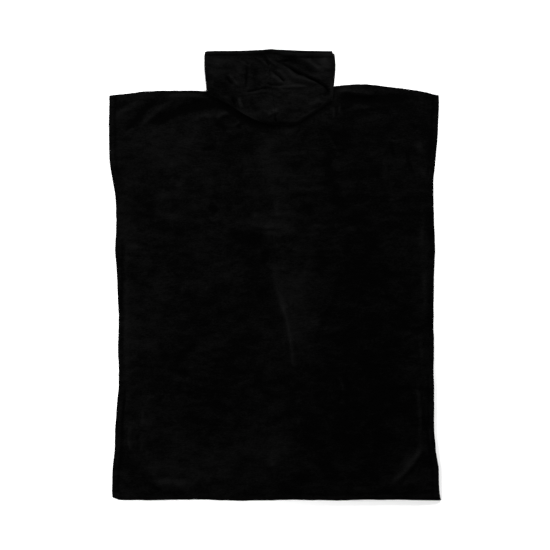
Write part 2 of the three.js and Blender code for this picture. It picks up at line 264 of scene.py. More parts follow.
@dataclass(frozen=True)
class CreaseSet:
    """The listed creases of one piece, wandering as cloth does, and its smallest ones.

    Attributes:
        creases: The creases placed by hand.
        seed: Start of the random draws.
        small: How many small creases are strewn between them.
        region: Low x, low y, high x and high y of where the small ones lie.
        slant: Mean direction of the small ones, in degrees.
        gain: Factor on the heights of the listed creases.
    """

    creases: tuple[Crease, ...]
    # creases: The listed creases.
    seed: int
    small: int
    region: tuple[float, float, float, float]
    slant: float
    gain: float = 1.0

    WANDER = ((3.2, 80.0), (1.3, 26.0))  # how far lines stray, and over what distance
    ACROSS_SEED = 7  # from the seed of the straying along X to that along Y
    STRENGTH_SEED = 3  # from the first seed to that of the heights' variation
    STRENGTH = (0.3, 55.0)  # how far placed heights vary, and over what distance
    SPREAD = 38.0  # of the small ones' directions, in degrees
    BOW = 0.12  # spread of their bends, as a share of their length
    LENGTHS, WIDTHS = (12.0, 52.0), (7.0, 18.0)  # least and most of the small ones
    RISES, LEANS = (0.5, 1.7), (-0.4, 0.4)

    def at(self, x: Array, y: Array) -> Array:
        """Give the height that all the creases add at plan points."""
        stray_x, stray_y = x.copy(), y.copy()
        for seed, (reach, size) in enumerate(self.WANDER, self.seed):
            stray_x += Unevenness(seed, size, 1, reach).at(x, y)
            stray_y += Unevenness(seed + self.ACROSS_SEED, size, 1, reach).at(x, y)
        reach, size = self.STRENGTH
        strength = 1 + Unevenness(self.seed + self.STRENGTH_SEED, size, height=reach).at(x, y)
        placed = self.gain * sum_at(self.creases, stray_x, stray_y)
        return placed * strength + sum_at(self._strewn(), stray_x, stray_y)

    def _strewn(self) -> list[Crease]:
        """Draw the small creases, with lengths, depths and directions spread unevenly."""
        draws = np.random.default_rng(self.seed)
        found = []
        low_x, low_y, high_x, high_y = self.region
        for k in range(self.small):
            x, y = draws.uniform(low_x, high_x), draws.uniform(low_y, high_y)
            turn = math.radians(self.slant + draws.normal(0, self.SPREAD))
            length = draws.uniform(*self.LENGTHS)
            bow = draws.normal(0, self.BOW) * length
            dx, dy = math.cos(turn) * length / 2, math.sin(turn) * length / 2
            belly = (x - dy * bow / length, y + dx * bow / length)
            path = ((x - dx, y - dy), belly, (x + dx, y + dy))
            rise = draws.choice([-1, 1]) * draws.uniform(*self.RISES)
            width, lean = draws.uniform(*self.WIDTHS), draws.uniform(*self.LEANS)
            found.append(Crease(f"small {k}", path, width, rise, lean))
        return found


@dataclass(frozen=True)
class PaintedLightPatch:
    """An oval of painted light and shade, partly pile that lies another way.

    Attributes:
        name: Where it is on the garment.
        centre: Plan point of its middle.
        reach: Half its length and half its width.
        turn: Direction of its length, in degrees from X.
        lean: Lean that it adds in the middle: positive paints light, negative paints shade.
    """

    name: str
    centre: tuple[float, float]
    reach: tuple[float, float]
    turn: float
    lean: float

    FALL = 1.6  # how steeply it dies away: a fifth is left at its reach

    def at(self, x: Array, y: Array) -> Array:
        """Give the lean it adds at plan points."""
        turn = math.radians(self.turn)
        dx, dy = x - self.centre[0], y - self.centre[1]
        along = (dx * math.cos(turn) + dy * math.sin(turn)) / self.reach[0]
        across = (dy * math.cos(turn) - dx * math.sin(turn)) / self.reach[1]
        return self.lean * np.exp(-self.FALL * (along**2 + across**2))


# ------------------------------------------------------------------ outlines of the solids


@dataclass(frozen=True)
class Outline:
    """The four edges of a piece as smooth plan lines, each from its left or lower end.

    Attributes:
        foot: Lower edge, from left to right.
        top: Upper edge, from left to right.
        left: Left edge, upwards.
        right: Right edge, upwards.
    """

    foot: Array
    top: Array
    left: Array
    right: Array

    @staticmethod
    def point(edge: Array, share: Array) -> Array:
        """Give the plan points at shares of an edge's length."""
        way = way_along(edge)
        return np.stack([np.interp(share * way[-1], way, edge[:, k]) for k in (0, 1)], axis=-1)

    def plan(self, across: Array, up: Array) -> tuple[Array, Array]:
        """Fill the outline with a lattice.

        Args:
            across: Shares of the width, from 0 to 1.
            up: Shares of the height, from 0 to 1.

        Returns:
            Plan x and y, with a row for each share across and a column for each share up.
        """
        foot, top = self.point(self.foot, across)[:, None], self.point(self.top, across)[:, None]
        left, right = self.point(self.left, up)[None], self.point(self.right, up)[None]
        u, v = across[:, None, None], up[None, :, None]
        level = (1 - v) * foot + v * top
        upright = (1 - u) * left + u * right
        low = (1 - u) * self.foot[0] + u * self.foot[-1]
        high = (1 - u) * self.top[0] + u * self.top[-1]
        both = level + upright - ((1 - v) * low + v * high)
        return both[..., 0], both[..., 1]

    def loop(self) -> Array:
        """Give the whole outline as one closed line, anticlockwise."""
        return np.vstack([self.foot, self.right, self.top[::-1], self.left[::-1]])

    def below(self) -> Array:
        """Give the line down the left edge, along the foot and up the right edge."""
        return np.vstack([self.left[::-1], self.foot, self.right])[::2]


class SolidReader:
    """Reads a soft solid's outline where its rim stands upright.

    Args:
        node: Name of the CAD node.
    """

    SAMPLES = 260
    RIM_ABOVE_BASE = 1.5 * MM
    MARGIN = 0.4 * MM  # from the end of an edge to the first ray
    OUTSIDE = 1.0  # how far outside the solid a ray starts, in metres
    FACING = 0.6  # how squarely a rim facet has to face the ray
    SMOOTHING = 3  # passes that take the facets' corners off the outline

    def __init__(self, node: str) -> None:
        """Gather the node's facets, so that rays can find them."""
        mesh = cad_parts[node].data
        corners = [vertex.co for vertex in mesh.vertices]
        faces = [face.vertices for face in mesh.polygons]
        self.tree = BVHTree.FromPolygons(corners, faces)
        self.low, self.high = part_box(node)

    def _edge(self, axis: int, direction: int) -> Array:
        """Read one edge by rays from outside the solid.

        Args:
            axis: 0 for the foot and top edges, which run along X, or 1 for the sides.
            direction: 1 to look up or right, -1 to look down or left.

        Returns:
            Plan points of the edge in millimetres.
        """
        other = 1 - axis
        first, last = self.low[axis] + self.MARGIN, self.high[axis] - self.MARGIN
        start = Vector((0, 0, self.low.z + self.RIM_ABOVE_BASE))
        near = self.low if direction > 0 else self.high
        start[other] = near[other] - direction * self.OUTSIDE
        ray = Vector((0, 0, 0))
        ray[other] = direction
        found = []
        for place in np.linspace(first, last, self.SAMPLES):
            start[axis] = place
            hit, normal, _, _ = self.tree.ray_cast(start, ray)
            if hit is not None and -normal[other] * direction > self.FACING:
                found.append((hit.x / MM, hit.y / MM))
        return np.array(found)

    def outline(self) -> Outline:
        """Read all four edges, make them meet at the corners and smooth them."""
        foot, top = self._edge(0, 1), self._edge(0, -1)
        left, right = self._edge(1, 1), self._edge(1, -1)
        corners = {
            "low left": (left[0][0], foot[0][1]),
            "low right": (right[0][0], foot[-1][1]),
            "high left": (left[-1][0], top[0][1]),
            "high right": (right[-1][0], top[-1][1]),
        }

        def between(first: str, edge: Array, last: str) -> Array:
            """Run an edge from corner to corner and smooth it."""
            line = np.vstack([corners[first], edge[1:-1], corners[last]])
            for _ in range(self.SMOOTHING):
                line[1:-1] = (line[:-2] + 2 * line[1:-1] + line[2:]) / 4
            return line

        return Outline(
            foot=between("low left", foot, "low right"),
            top=between("high left", top, "high right"),
            left=between("low left", left, "high left"),
            right=between("low right", right, "high right"),
        )


# ------------------------------------------------------------------ finishes


def linear(hex_colour: str) -> tuple[float, float, float, float]:
    """Turn an sRGB hex colour into linear light with full alpha."""
    parts = [int(hex_colour[k : k + 2], 16) / 255 for k in (1, 3, 5)]
    light = [c / 12.92 if c <= 0.04045 else ((c + 0.055) / 1.055) ** 2.4 for c in parts]
    return (*light, 1.0)


def add_node(tree: bpy.types.NodeTree, kind: str, settings: dict, links: dict) -> bpy.types.Node:
    """Add a node with its settings and links.

    Args:
        tree: The material's node tree.
        kind: Blender's name for the node type.
        settings: Values by input name or number, or by attribute name where no input has it.
        links: Output sockets by the name or number of the input that each goes to.

    Returns:
        The new node.
    """
    node = tree.nodes.new(kind)
    for name, value in settings.items():
        if isinstance(name, int) or name in node.inputs:
            node.inputs[name].default_value = value
        else:
            setattr(node, name, value)
    for name, socket in links.items():
        tree.links.new(socket, node.inputs[name])
    return node


def new_tree(name: str) -> tuple[bpy.types.Material, bpy.types.NodeTree, bpy.types.Node]:
    """Start a node material and give its tree and output node."""
    material = bpy.data.materials.new(name)
    material.use_nodes = True
    tree = material.node_tree
    tree.nodes.clear()
    return material, tree, add_node(tree, "ShaderNodeOutputMaterial", {}, {})


def blend(tree: bpy.types.NodeTree, first: str, second: str, share: Socket) -> Socket:
    """Mix two hex colours, from the first at a share of 0 to the second at 1."""
    settings = {"data_type": "RGBA", 6: linear(first), 7: linear(second)}
    return add_node(tree, "ShaderNodeMix", settings, {0: share}).outputs[2]


def noise(
    tree: bpy.types.NodeTree, size_mm: float, detail: float, roughness: float, place: Socket
) -> Socket:
    """Add a noise of a size in millimetres, its detail rougher the higher its roughness."""
    settings = {"Scale": 1 / (size_mm * MM), "Detail": detail, "Roughness": roughness}
    return add_node(tree, "ShaderNodeTexNoise", settings, {"Vector": place}).outputs["Fac"]


def bumped(tree: bpy.types.NodeTree, strength: float, depth_mm: float, links: dict) -> Socket:
    """Add a bump of a depth in millimetres and give its normal."""
    settings = {"Strength": strength, "Distance": depth_mm * MM}
    return add_node(tree, "ShaderNodeBump", settings, links).outputs["Normal"]


def shade(tree: bpy.types.NodeTree, out: bpy.types.Node, settings: dict, links: dict) -> None:
    """Add the surface shader and join it to the output."""
    shader = add_node(tree, "ShaderNodeBsdfPrincipled", settings, links)
    tree.links.new(shader.outputs["BSDF"], out.inputs["Surface"])


@dataclass(frozen=True)
class ShearedVelour:
    """Black velour terry: looped cotton whose loops are sheared to a short upright pile.

    The pile swallows light face on. Its lean, carried in a point attribute of the meshes, is
    mostly painted light and shade: crests of folds are painted dark grey and their bottoms the
    deepest black, and ovals of painted light and shade follow how the light falls over the
    garment. Noise adds tufts and patches stroked by hand.

    Attributes:
        name: Name of the material.
        deep: Colour at no lean: painted shade in the bottoms of folds, and pile standing closed.
        brushed_and_lit: Colour at full lean: painted highlights on crests, and pile leaning over fully.
        resting_lean: Lean of untouched pile, from 0 to 1.
        tuft_mm: Distance between tufts. Real tufts are 1 mm apart, too fine to show whole.
        patch_mm: Width of a patch of pile that lies another way.
        row_stretch: Width over height of the pattern, since the tufts stand in rows across.
        tuft_lean: How far the lean spreads from tuft to tuft.
        patch_lean: How far it spreads from patch to patch.
        roughness: Roughness of the fibres' gleam.
        gloss: Strength of that gleam. Sheared ends have next to none.
        sheen: Strength of the soft light along the fibres, seen from the side.
        sheen_roughness: How widely that light spreads.
    """

    name: str = "sheared_velour"
    deep: str = "#010101"
    brushed_and_lit: str = "#0c0c0c"
    resting_lean: float = 0.14
    tuft_mm: float = 2.6
    patch_mm: float = 22.0
    row_stretch: float = 2.1
    tuft_lean: float = 0.18
    patch_lean: float = 0.18
    roughness: float = 0.9
    gloss: float = 0.002
    sheen: float = 0.004
    sheen_roughness: float = 0.5

    PATCH_DETAIL, TUFT_DETAIL, LEAN_ROUGHNESS = 5.0, 3.0, 0.66
    MIDDLE = (0.3, 0.7)  # part of the noise's range that nearly all of it falls in
    PILE_DETAIL, PILE_ROUGHNESS, PILE_STRENGTH = 2.0, 0.55, 0.9
    PILE_DEPTHS = ((4, 1.8), (1, 0.7))  # size in tufts and depth in millimetres

    def build(self) -> bpy.types.Material:
        """Make the material."""
        material, tree, out = new_tree(self.name)
        whole = add_node(tree, "ShaderNodeTexCoord", {}, {}).outputs["Object"]
        along_rows = {"Scale": (1 / self.row_stretch, 1, 1)}
        place = add_node(tree, "ShaderNodeMapping", along_rows, {"Vector": whole}).outputs["Vector"]
        # the attribute holds painted light and shade over folds, hems and ovals, with the pile's lean
        source = {"attribute_name": "painted_light_and_pile_lean"}
        lean = add_node(tree, "ShaderNodeAttribute", source, {}).outputs["Fac"]
        for size, detail, spread in (
            (self.patch_mm, self.PATCH_DETAIL, self.patch_lean),
            (self.tuft_mm, self.TUFT_DETAIL, self.tuft_lean),
        ):
            pattern = noise(tree, size, detail, self.LEAN_ROUGHNESS, place)
            limits = {"From Min": self.MIDDLE[0], "From Max": self.MIDDLE[1]}
            limits |= {"To Min": -spread, "To Max": spread}
            spread_out = add_node(tree, "ShaderNodeMapRange", limits, {"Value": pattern})
            lean = self._add(tree, {}, {0: lean, 1: spread_out.outputs["Result"]})
        settled = self._add(tree, {"use_clamp": True, 1: self.resting_lean}, {0: lean})
        # mixes from the painted shade of fold bottoms to the painted highlights of crests
        colour = blend(tree, self.deep, self.brushed_and_lit, settled)
        relief = {}
        for tufts, depth in self.PILE_DEPTHS:
            size = tufts * self.tuft_mm
            pile = noise(tree, size, self.PILE_DETAIL, self.PILE_ROUGHNESS, place)
            relief = {"Normal": bumped(tree, self.PILE_STRENGTH, depth, {"Height": pile} | relief)}
        settings = {
            "Roughness": self.roughness,
            "Specular IOR Level": self.gloss,
            "Sheen Weight": self.sheen,
            "Sheen Roughness": self.sheen_roughness,
        }
        shade(tree, out, settings, {"Base Color": colour} | relief)
        return material

    @staticmethod
    def _add(tree: bpy.types.NodeTree, settings: dict, links: dict) -> Socket:
        """Add two values up."""
        return add_node(tree, "ShaderNodeMath", {"operation": "ADD"} | settings, links).outputs["Value"]


@dataclass(frozen=True)
class SpunThread:
    """Black spun polyester sewing thread: two plies twisted together, with a dull gleam.

    Attributes:
        name: Name of the material.
        dark: Colour in the valley between the plies, painted shade.
        light: Colour on the plies, painted lighter than the valleys.
        twist_mm: Length of one turn of the twist.
        roughness: Roughness of its gleam.
        gloss: Strength of its gleam.
    """

    name: str = "spun_polyester_thread"
    dark: str = "#030303"
    light: str = "#060606"
    twist_mm: float = 0.9
    roughness: float = 0.8
    gloss: float = 0.01

    HAIRINESS = 0.8  # how unevenly the plies lie
    PLY_STRENGTH, PLY_MM = 0.4, 0.1

    def build(self) -> bpy.types.Material:
        """Make the material."""
        material, tree, out = new_tree(self.name)
        place = add_node(tree, "ShaderNodeTexCoord", {}, {}).outputs["Object"]
        settings = {
            "Scale": 1 / (self.twist_mm * MM),
            "Distortion": self.HAIRINESS,
            "bands_direction": "DIAGONAL",
        }
        plies = add_node(tree, "ShaderNodeTexWave", settings, {"Vector": place}).outputs["Fac"]
        # painted shade in the valleys between the plies, lighter on the plies
        colour = blend(tree, self.dark, self.light, plies)
        normal = bumped(tree, self.PLY_STRENGTH, self.PLY_MM, {"Height": plies})
        settings = {"Roughness": self.roughness, "Specular IOR Level": self.gloss}
        shade(tree, out, settings, {"Base Color": colour, "Normal": normal})
        return material


@dataclass(frozen=True)
class MattePaper:
    """White background paper: uncoated, so it scatters light evenly and has no gloss.

    Attributes:
        name: Name of the material.
        white: Colour of the paper.
        shade: Colour of its faint clouds.
        cloud_mm: Width of a cloud.
        roughness: Roughness of its gleam.
        gloss: Strength of its gleam.
    """

    name: str = "matte_paper"
    white: str = "#fbfbfb"
    shade: str = "#f6f6f6"
    cloud_mm: float = 40.0
    roughness: float = 0.95
    gloss: float = 0.1

    CLOUD_DETAIL, CLOUD_ROUGHNESS = 3.0, 0.5

    def build(self) -> bpy.types.Material:
        """Make the material."""
        material, tree, out = new_tree(self.name)
        place = add_node(tree, "ShaderNodeTexCoord", {}, {}).outputs["Object"]
        clouds = noise(tree, self.cloud_mm, self.CLOUD_DETAIL, self.CLOUD_ROUGHNESS, place)
        colour = blend(tree, self.white, self.shade, clouds)
        settings = {"Roughness": self.roughness, "Specular IOR Level": self.gloss}
        shade(tree, out, settings, {"Base Color": colour})
        return material


# ------------------------------------------------------------------ cloth meshes


def lattice_lines(length: float, pitch: float) -> Array:
    """Place lattice lines along a length, closer together beside its two rounded ends.

    Args:
        length: Length in millimetres.
        pitch: Distance between the lines away from the ends.

    Returns:
        Shares of the length, from 0 to 1.
    """
    last = EDGE_LINES[-1]
    count = int((length - last - last) / pitch) + 1
    middle = np.linspace(last, length - last, count + 1)[1:-1]
    return np.concatenate([EDGE_LINES, middle, length - np.array(EDGE_LINES[::-1])]) / length


def declare_cloth(
    piece: bpy.types.Object,
    node: str,
    outline: Outline,
    held: Held,
) -> None:
    """Attach a sheet of cloth to the root body and hide the solid it stands for.

    Args:
        piece: The sheet.
        node: CAD node that it stands for.
        outline: Outline of what shows of its cut. Not used.
        held: How it is held. Not used.
    """
    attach(piece, "root")
    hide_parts(node)


def add_mesh(name: str, points: Array, faces: Array, material: bpy.types.Material) -> bpy.types.Object:
    """Make a smooth-shaded object from points in millimetres and faces of four corners."""
    mesh = bpy.data.meshes.new(name)
    mesh.from_pydata((points * MM).tolist(), [], faces.tolist())
    mesh.polygons.foreach_set("use_smooth", np.ones(len(mesh.polygons), bool))
    mesh.materials.append(material)
    mesh.update()
    piece = bpy.data.objects.new(name, mesh)
    bpy.context.scene.collection.objects.link(piece)
    return piece


def grid_faces(index: Array) -> Array:
    """Give the four-cornered faces of a lattice of point numbers, facing up."""
    corners = (index[:-1, :-1], index[1:, :-1], index[1:, 1:], index[:-1, 1:])
    return np.stack([corner.ravel() for corner in corners], axis=1)


@dataclass
class Shell:
    """Cloth between an upper and a lower face that meet along its rim.

    Attributes:
        name: Name of the piece.
        x: Plan x of the lattice.
        y: Plan y of the lattice.
        upper: Height of the upper face.
        lower: Height of the lower face.
        lean: Painted light and shade at each point, with the pile's lean, over its resting lean.
    """

    name: str
    x: Array
    y: Array
    upper: Array
    lower: Array
    lean: Array

    def build(self, material: bpy.types.Material) -> bpy.types.Object:
        """Make the closed mesh, its two faces sharing the points of the rim."""
        rows, columns = self.x.shape
        upper_index = np.arange(rows * columns).reshape(rows, columns)
        lower_index = upper_index.copy()
        inner = (rows - 2) * (columns - 2)
        lower_index[1:-1, 1:-1] = rows * columns + np.arange(inner).reshape(rows - 2, columns - 2)
        top = np.stack([self.x, self.y, self.upper], axis=-1).reshape(-1, 3)
        under = np.stack([self.x, self.y, self.lower], axis=-1)[1:-1, 1:-1].reshape(-1, 3)
        faces = np.vstack([grid_faces(upper_index), grid_faces(lower_index)[:, ::-1]])
        piece = add_mesh(self.name, np.vstack([top, under]), faces, material)
        # painted light and shade, with the pile's lean, stored for the velour to read
        values = np.concatenate([self.lean.ravel(), self.lean[1:-1, 1:-1].ravel()])
        mark = piece.data.attributes.new("painted_light_and_pile_lean", "FLOAT", "POINT")
        mark.data.foreach_set("value", values.astype(np.float32))
        return piece


@dataclass(frozen=True)
class StitchRow:
    """A row of lockstitches, each a short bead of thread that dives into the pile at its ends.

    Attributes:
        path: Plan points along the row.
        stitch: Length of a stitch that shows.
        pause: Distance between two stitches.
        thread: Diameter of the thread, drawn a third thicker than real so that it shows.
    """

    path: Array
    stitch: float = 3.0
    pause: float = 0.9
    thread: float = 0.55

    AHEAD = 0.5  # distance over which the direction of the row is read
    SIDES = 6
    NEAR_CAP = ((0, 5, 4, 3), (0, 3, 2, 1))  # corners, on a ring of six, of the faces that close it
    FAR_CAP = ((0, 1, 2, 3), (0, 3, 4, 5))
    RINGS = (  # place along the stitch, girth and lift of each ring
        (-1.0, 0.30, -0.55),
        (-0.72, 0.85, 0.0),
        (-0.25, 1.0, 0.28),
        (0.25, 1.0, 0.28),
        (0.72, 0.85, 0.0),
        (1.0, 0.30, -0.55),
    )

    def beads(self, surface: HeightMap) -> tuple[Array, Array]:
        """Lay the stitches on a surface.

        Args:
            surface: Height of the cloth at plan points.

        Returns:
            Points and four-cornered faces of all the stitches.
        """
        way = way_along(self.path)
        starts = np.arange(self.pause, way[-1] - self.stitch, self.stitch + self.pause)
        middle = starts + self.stitch / 2
        x, y = (np.interp(middle, way, self.path[:, k]) for k in (0, 1))
        ahead = [np.interp(middle + self.AHEAD, way, self.path[:, k]) for k in (0, 1)]
        dx, dy = ahead[0] - x, ahead[1] - y
        length = np.hypot(dx, dy)
        dx, dy = dx / length, dy / length
        turns = np.arange(self.SIDES) * math.tau / self.SIDES
        rings = []
        for place, girth, lift in self.RINGS:
            run = place * self.stitch / 2
            px, py = x + dx * run, y + dy * run
            pz = surface(px, py) + lift * self.thread
            radius = girth * self.thread / 2
            across, up = np.cos(turns) * radius, np.sin(turns) * radius
            ring = (
                px[:, None] - dy[:, None] * across,
                py[:, None] + dx[:, None] * across,
                pz[:, None] + up,
            )
            rings.append(np.stack(ring, axis=-1))
        faces = []
        for start in range(0, self.SIDES * (len(self.RINGS) - 1), self.SIDES):
            for side in range(self.SIDES):
                a, b = start + side, start + (side + 1) % self.SIDES
                faces.append((a, b, b + self.SIDES, a + self.SIDES))
        last = self.SIDES * (len(self.RINGS) - 1)
        faces = np.array([*faces, *self.NEAR_CAP, *(np.array(self.FAR_CAP) + last)])
        offsets = np.arange(len(middle))[:, None, None] * (last + self.SIDES)
        return np.stack(rings, axis=1).reshape(-1, 3), (faces[None] + offsets).reshape(-1, 4)


def sew(
    name: str,
    rows: Sequence[StitchRow],
    surface: HeightMap,
    thread: bpy.types.Material,
) -> bpy.types.Object:
    """Join several rows of stitches on one surface into one mesh.

    Args:
        name: Name of the piece.
        rows: The rows of stitches.
        surface: Height of the cloth at plan points.
        thread: Finish of the thread.

    Returns:
        The new piece, riding with the garment.
    """
    points, faces, total = [], [], 0
    for row in rows:
        row_points, row_faces = row.beads(surface)
        points.append(row_points)
        faces.append(row_faces + total)
        total += len(row_points)
    piece = add_mesh(name, np.vstack(points), np.vstack(faces), thread)
    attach(piece, "root")
    return piece


# ------------------------------------------------------------------ cloth measures


@dataclass(frozen=True)
class ClothMake:
    """Sizes that every piece of the garment shares.

    Attributes:
        thickness: Thickness of the velour terry.
        gap: Clearance between two pieces.
        hem: Depth of a turned hem, from its edge to its stitches.
        hem_swell: How much thicker the turned hem is.
        stitch_dip: Depth of the channel that the stitches pull into the pile.
        painted_fold_light_per_mm: Lean painted per millimetre that a fold rises: crests painted lighter,
            troughs darker.
        hem_lean: Lean of the pile on a hem, which the pressing flattens.
        stitch_channel_shade: Painted shade in the channel of the stitches.
        slit_top: Height of the top of the foot slits by side.
        underarm: Height where an armhole ends and the side seam starts.
    """

    thickness: float = 3.0
    gap: float = 0.3
    hem: float = 15.0
    hem_swell: float = 1.5
    stitch_dip: float = 1.5
    # painted light on crests and painted shade in troughs, by their height
    painted_fold_light_per_mm: float = 0.06
    hem_lean: float = 0.04
    stitch_channel_shade: float = -0.2
    slit_top: tuple[tuple[Side, float], ...] = ((Side.LEFT, -292.0), (Side.RIGHT, -250.0))
    underarm: float = 250.0

    HEM_START = 14.0  # over which a hem along a side edge begins
    SWELL_EDGE = (-1.0, 5.0)  # past its stitches, where a hem thins out
    BAND_EDGE = (-2.0, 1.0)  # past its stitches, where its shade ends
    CHANNEL, CHANNEL_SHADE = 4.5, 4.0  # half widths of the stitches' channel and of its painted shade

    def hemmed(self, side: Side, y: Array) -> Array:
        """Give where a side edge is hemmed: along the armhole and along the slit."""
        slit = dict(self.slit_top)[side]
        armhole = smooth_step(y, self.underarm, self.underarm + self.HEM_START)
        return np.maximum(armhole, smooth_fall(y, slit - self.HEM_START, slit))

    def hem_section(self, distance: Array) -> Array:
        """Give the extra thickness of a turned hem at distances from its edge."""
        near, far = self.SWELL_EDGE
        swell = self.hem_swell * smooth_fall(distance, self.hem + near, self.hem + far)
        share = np.clip(np.abs(distance - self.hem) / self.CHANNEL, 0, 1)
        return swell - self.stitch_dip * (1 - share**2) ** 2

    def hem_share(self, distance: Array) -> Array:
        """Give how much of the cloth is hem band at distances from the edge."""
        near, far = self.BAND_EDGE
        return smooth_fall(distance, self.hem + near, self.hem + far)

    def hem_shade(self, distance: Array) -> Array:
        """Give the pressed hem's lean and the painted shade in its stitches' channel, by distance from the
        edge.
        """
        channel = 1 - np.clip(np.abs(distance - self.hem) / self.CHANNEL_SHADE, 0, 1) ** 2
        return self.hem_lean * self.hem_share(distance) + self.stitch_channel_shade * channel**2


# ------------------------------------------------------------------ the body


@dataclass
class BodyPanel:
    """The front or the back of the body, cut alike but for the neckline.

    Attributes:
        node: CAD node it stands for, and its name.
        make: Sizes shared by all the cloth.
        pitch: Distance between lattice lines.
        outline: Outline of its solid.
    """

    node: str
    make: ClothMake
    pitch: float
    outline: Outline = field(init=False)

    WAVER = ((0.7, 42.0), (0.45, 15.0))  # how far the edge strays, and over what distance
    WAVER_SEED, ACROSS_SEED = 40, 5  # start of its seeds, and from X's seeds to Y's
    # Seed, spacing, layers and height of what a hem's stitches pucker.
    PUCKERS = (Unevenness(61, 13.0, 1, 0.3), Unevenness(62, 30.0, 1, 0.25))
    PUCKER_EDGE = (16.0, 34.0)  # from the edge, where the hem's puckers die away

    def __post_init__(self) -> None:
        """Read the outline from the solid."""
        self.outline = SolidReader(self.node).outline()

    def edge_distances(self, x: Array, y: Array) -> dict[str, Array]:
        """Give the distance to each of the four edges."""
        edges = ("foot", "top", "left", "right")
        return {name: measure_to(x, y, getattr(self.outline, name)[::2])[0] for name in edges}

    def hems(self, x: Array, y: Array, reach: dict[str, Array]) -> tuple[Array, Array]:
        """Give the extra thickness of the hems and how much of the cloth is hem band."""
        make = self.make
        swell, band = make.hem_section(reach["foot"]), make.hem_share(reach["foot"])
        for side in Side:
            hemmed = make.hemmed(side, y)
            rise = make.hem_section(reach[side.value]) * hemmed
            swell = np.where(np.abs(rise) > np.abs(swell), rise, swell)
            band = np.maximum(band, make.hem_share(reach[side.value]) * hemmed)
        near = np.minimum(reach["foot"], np.minimum(reach["left"], reach["right"]))
        return swell + sum_at(self.PUCKERS, x, y) * smooth_fall(near, *self.PUCKER_EDGE), band

    def lattice(self) -> tuple[Array, Array]:
        """Fill the outline, with an edge that strays a little as cut cloth does."""
        span = self.outline.foot[-1] - self.outline.foot[0]
        height = self.outline.left[-1] - self.outline.left[0]
        across = lattice_lines(abs(span[0]), self.pitch)
        up = lattice_lines(abs(height[1]), self.pitch)
        x, y = self.outline.plan(across, up)
        first = self.WAVER_SEED + len(self.node)
        for seed, (reach, size) in enumerate(self.WAVER, first):
            x = x + Unevenness(seed, size, 1, reach).at(x, y)
            y = y + Unevenness(seed + self.ACROSS_SEED, size, 1, reach).at(x, y)
        return x, y


@dataclass
class FrontPanel(BodyPanel):
    """The under layer: its outer face rests on the surface, and only its edges show."""

    HEM_SHARE = 0.7  # the lower hem is pressed thinner by the one on it

    def build(self, velour: bpy.types.Material) -> bpy.types.Object:
        """Make the panel with a flat underside."""
        x, y = self.lattice()
        reach = self.edge_distances(x, y)
        swell, band = self.hems(x, y, reach)
        edge = np.minimum.reduce(list(reach.values()))
        thickness = self.make.thickness + self.HEM_SHARE * np.maximum(swell, 0)
        half = thickness / 2
        bulge = rounding(edge, half)
        upper, lower = half + half * bulge, half - half * bulge
        lean = self.make.hem_lean * band
        return Shell(f"{self.node}_cloth", x, y, upper, lower, lean).build(velour)

    def top_at_hem(self) -> float:
        """Give the height of its upper face at a hem."""
        return self.make.thickness + self.HEM_SHARE * self.make.hem_swell


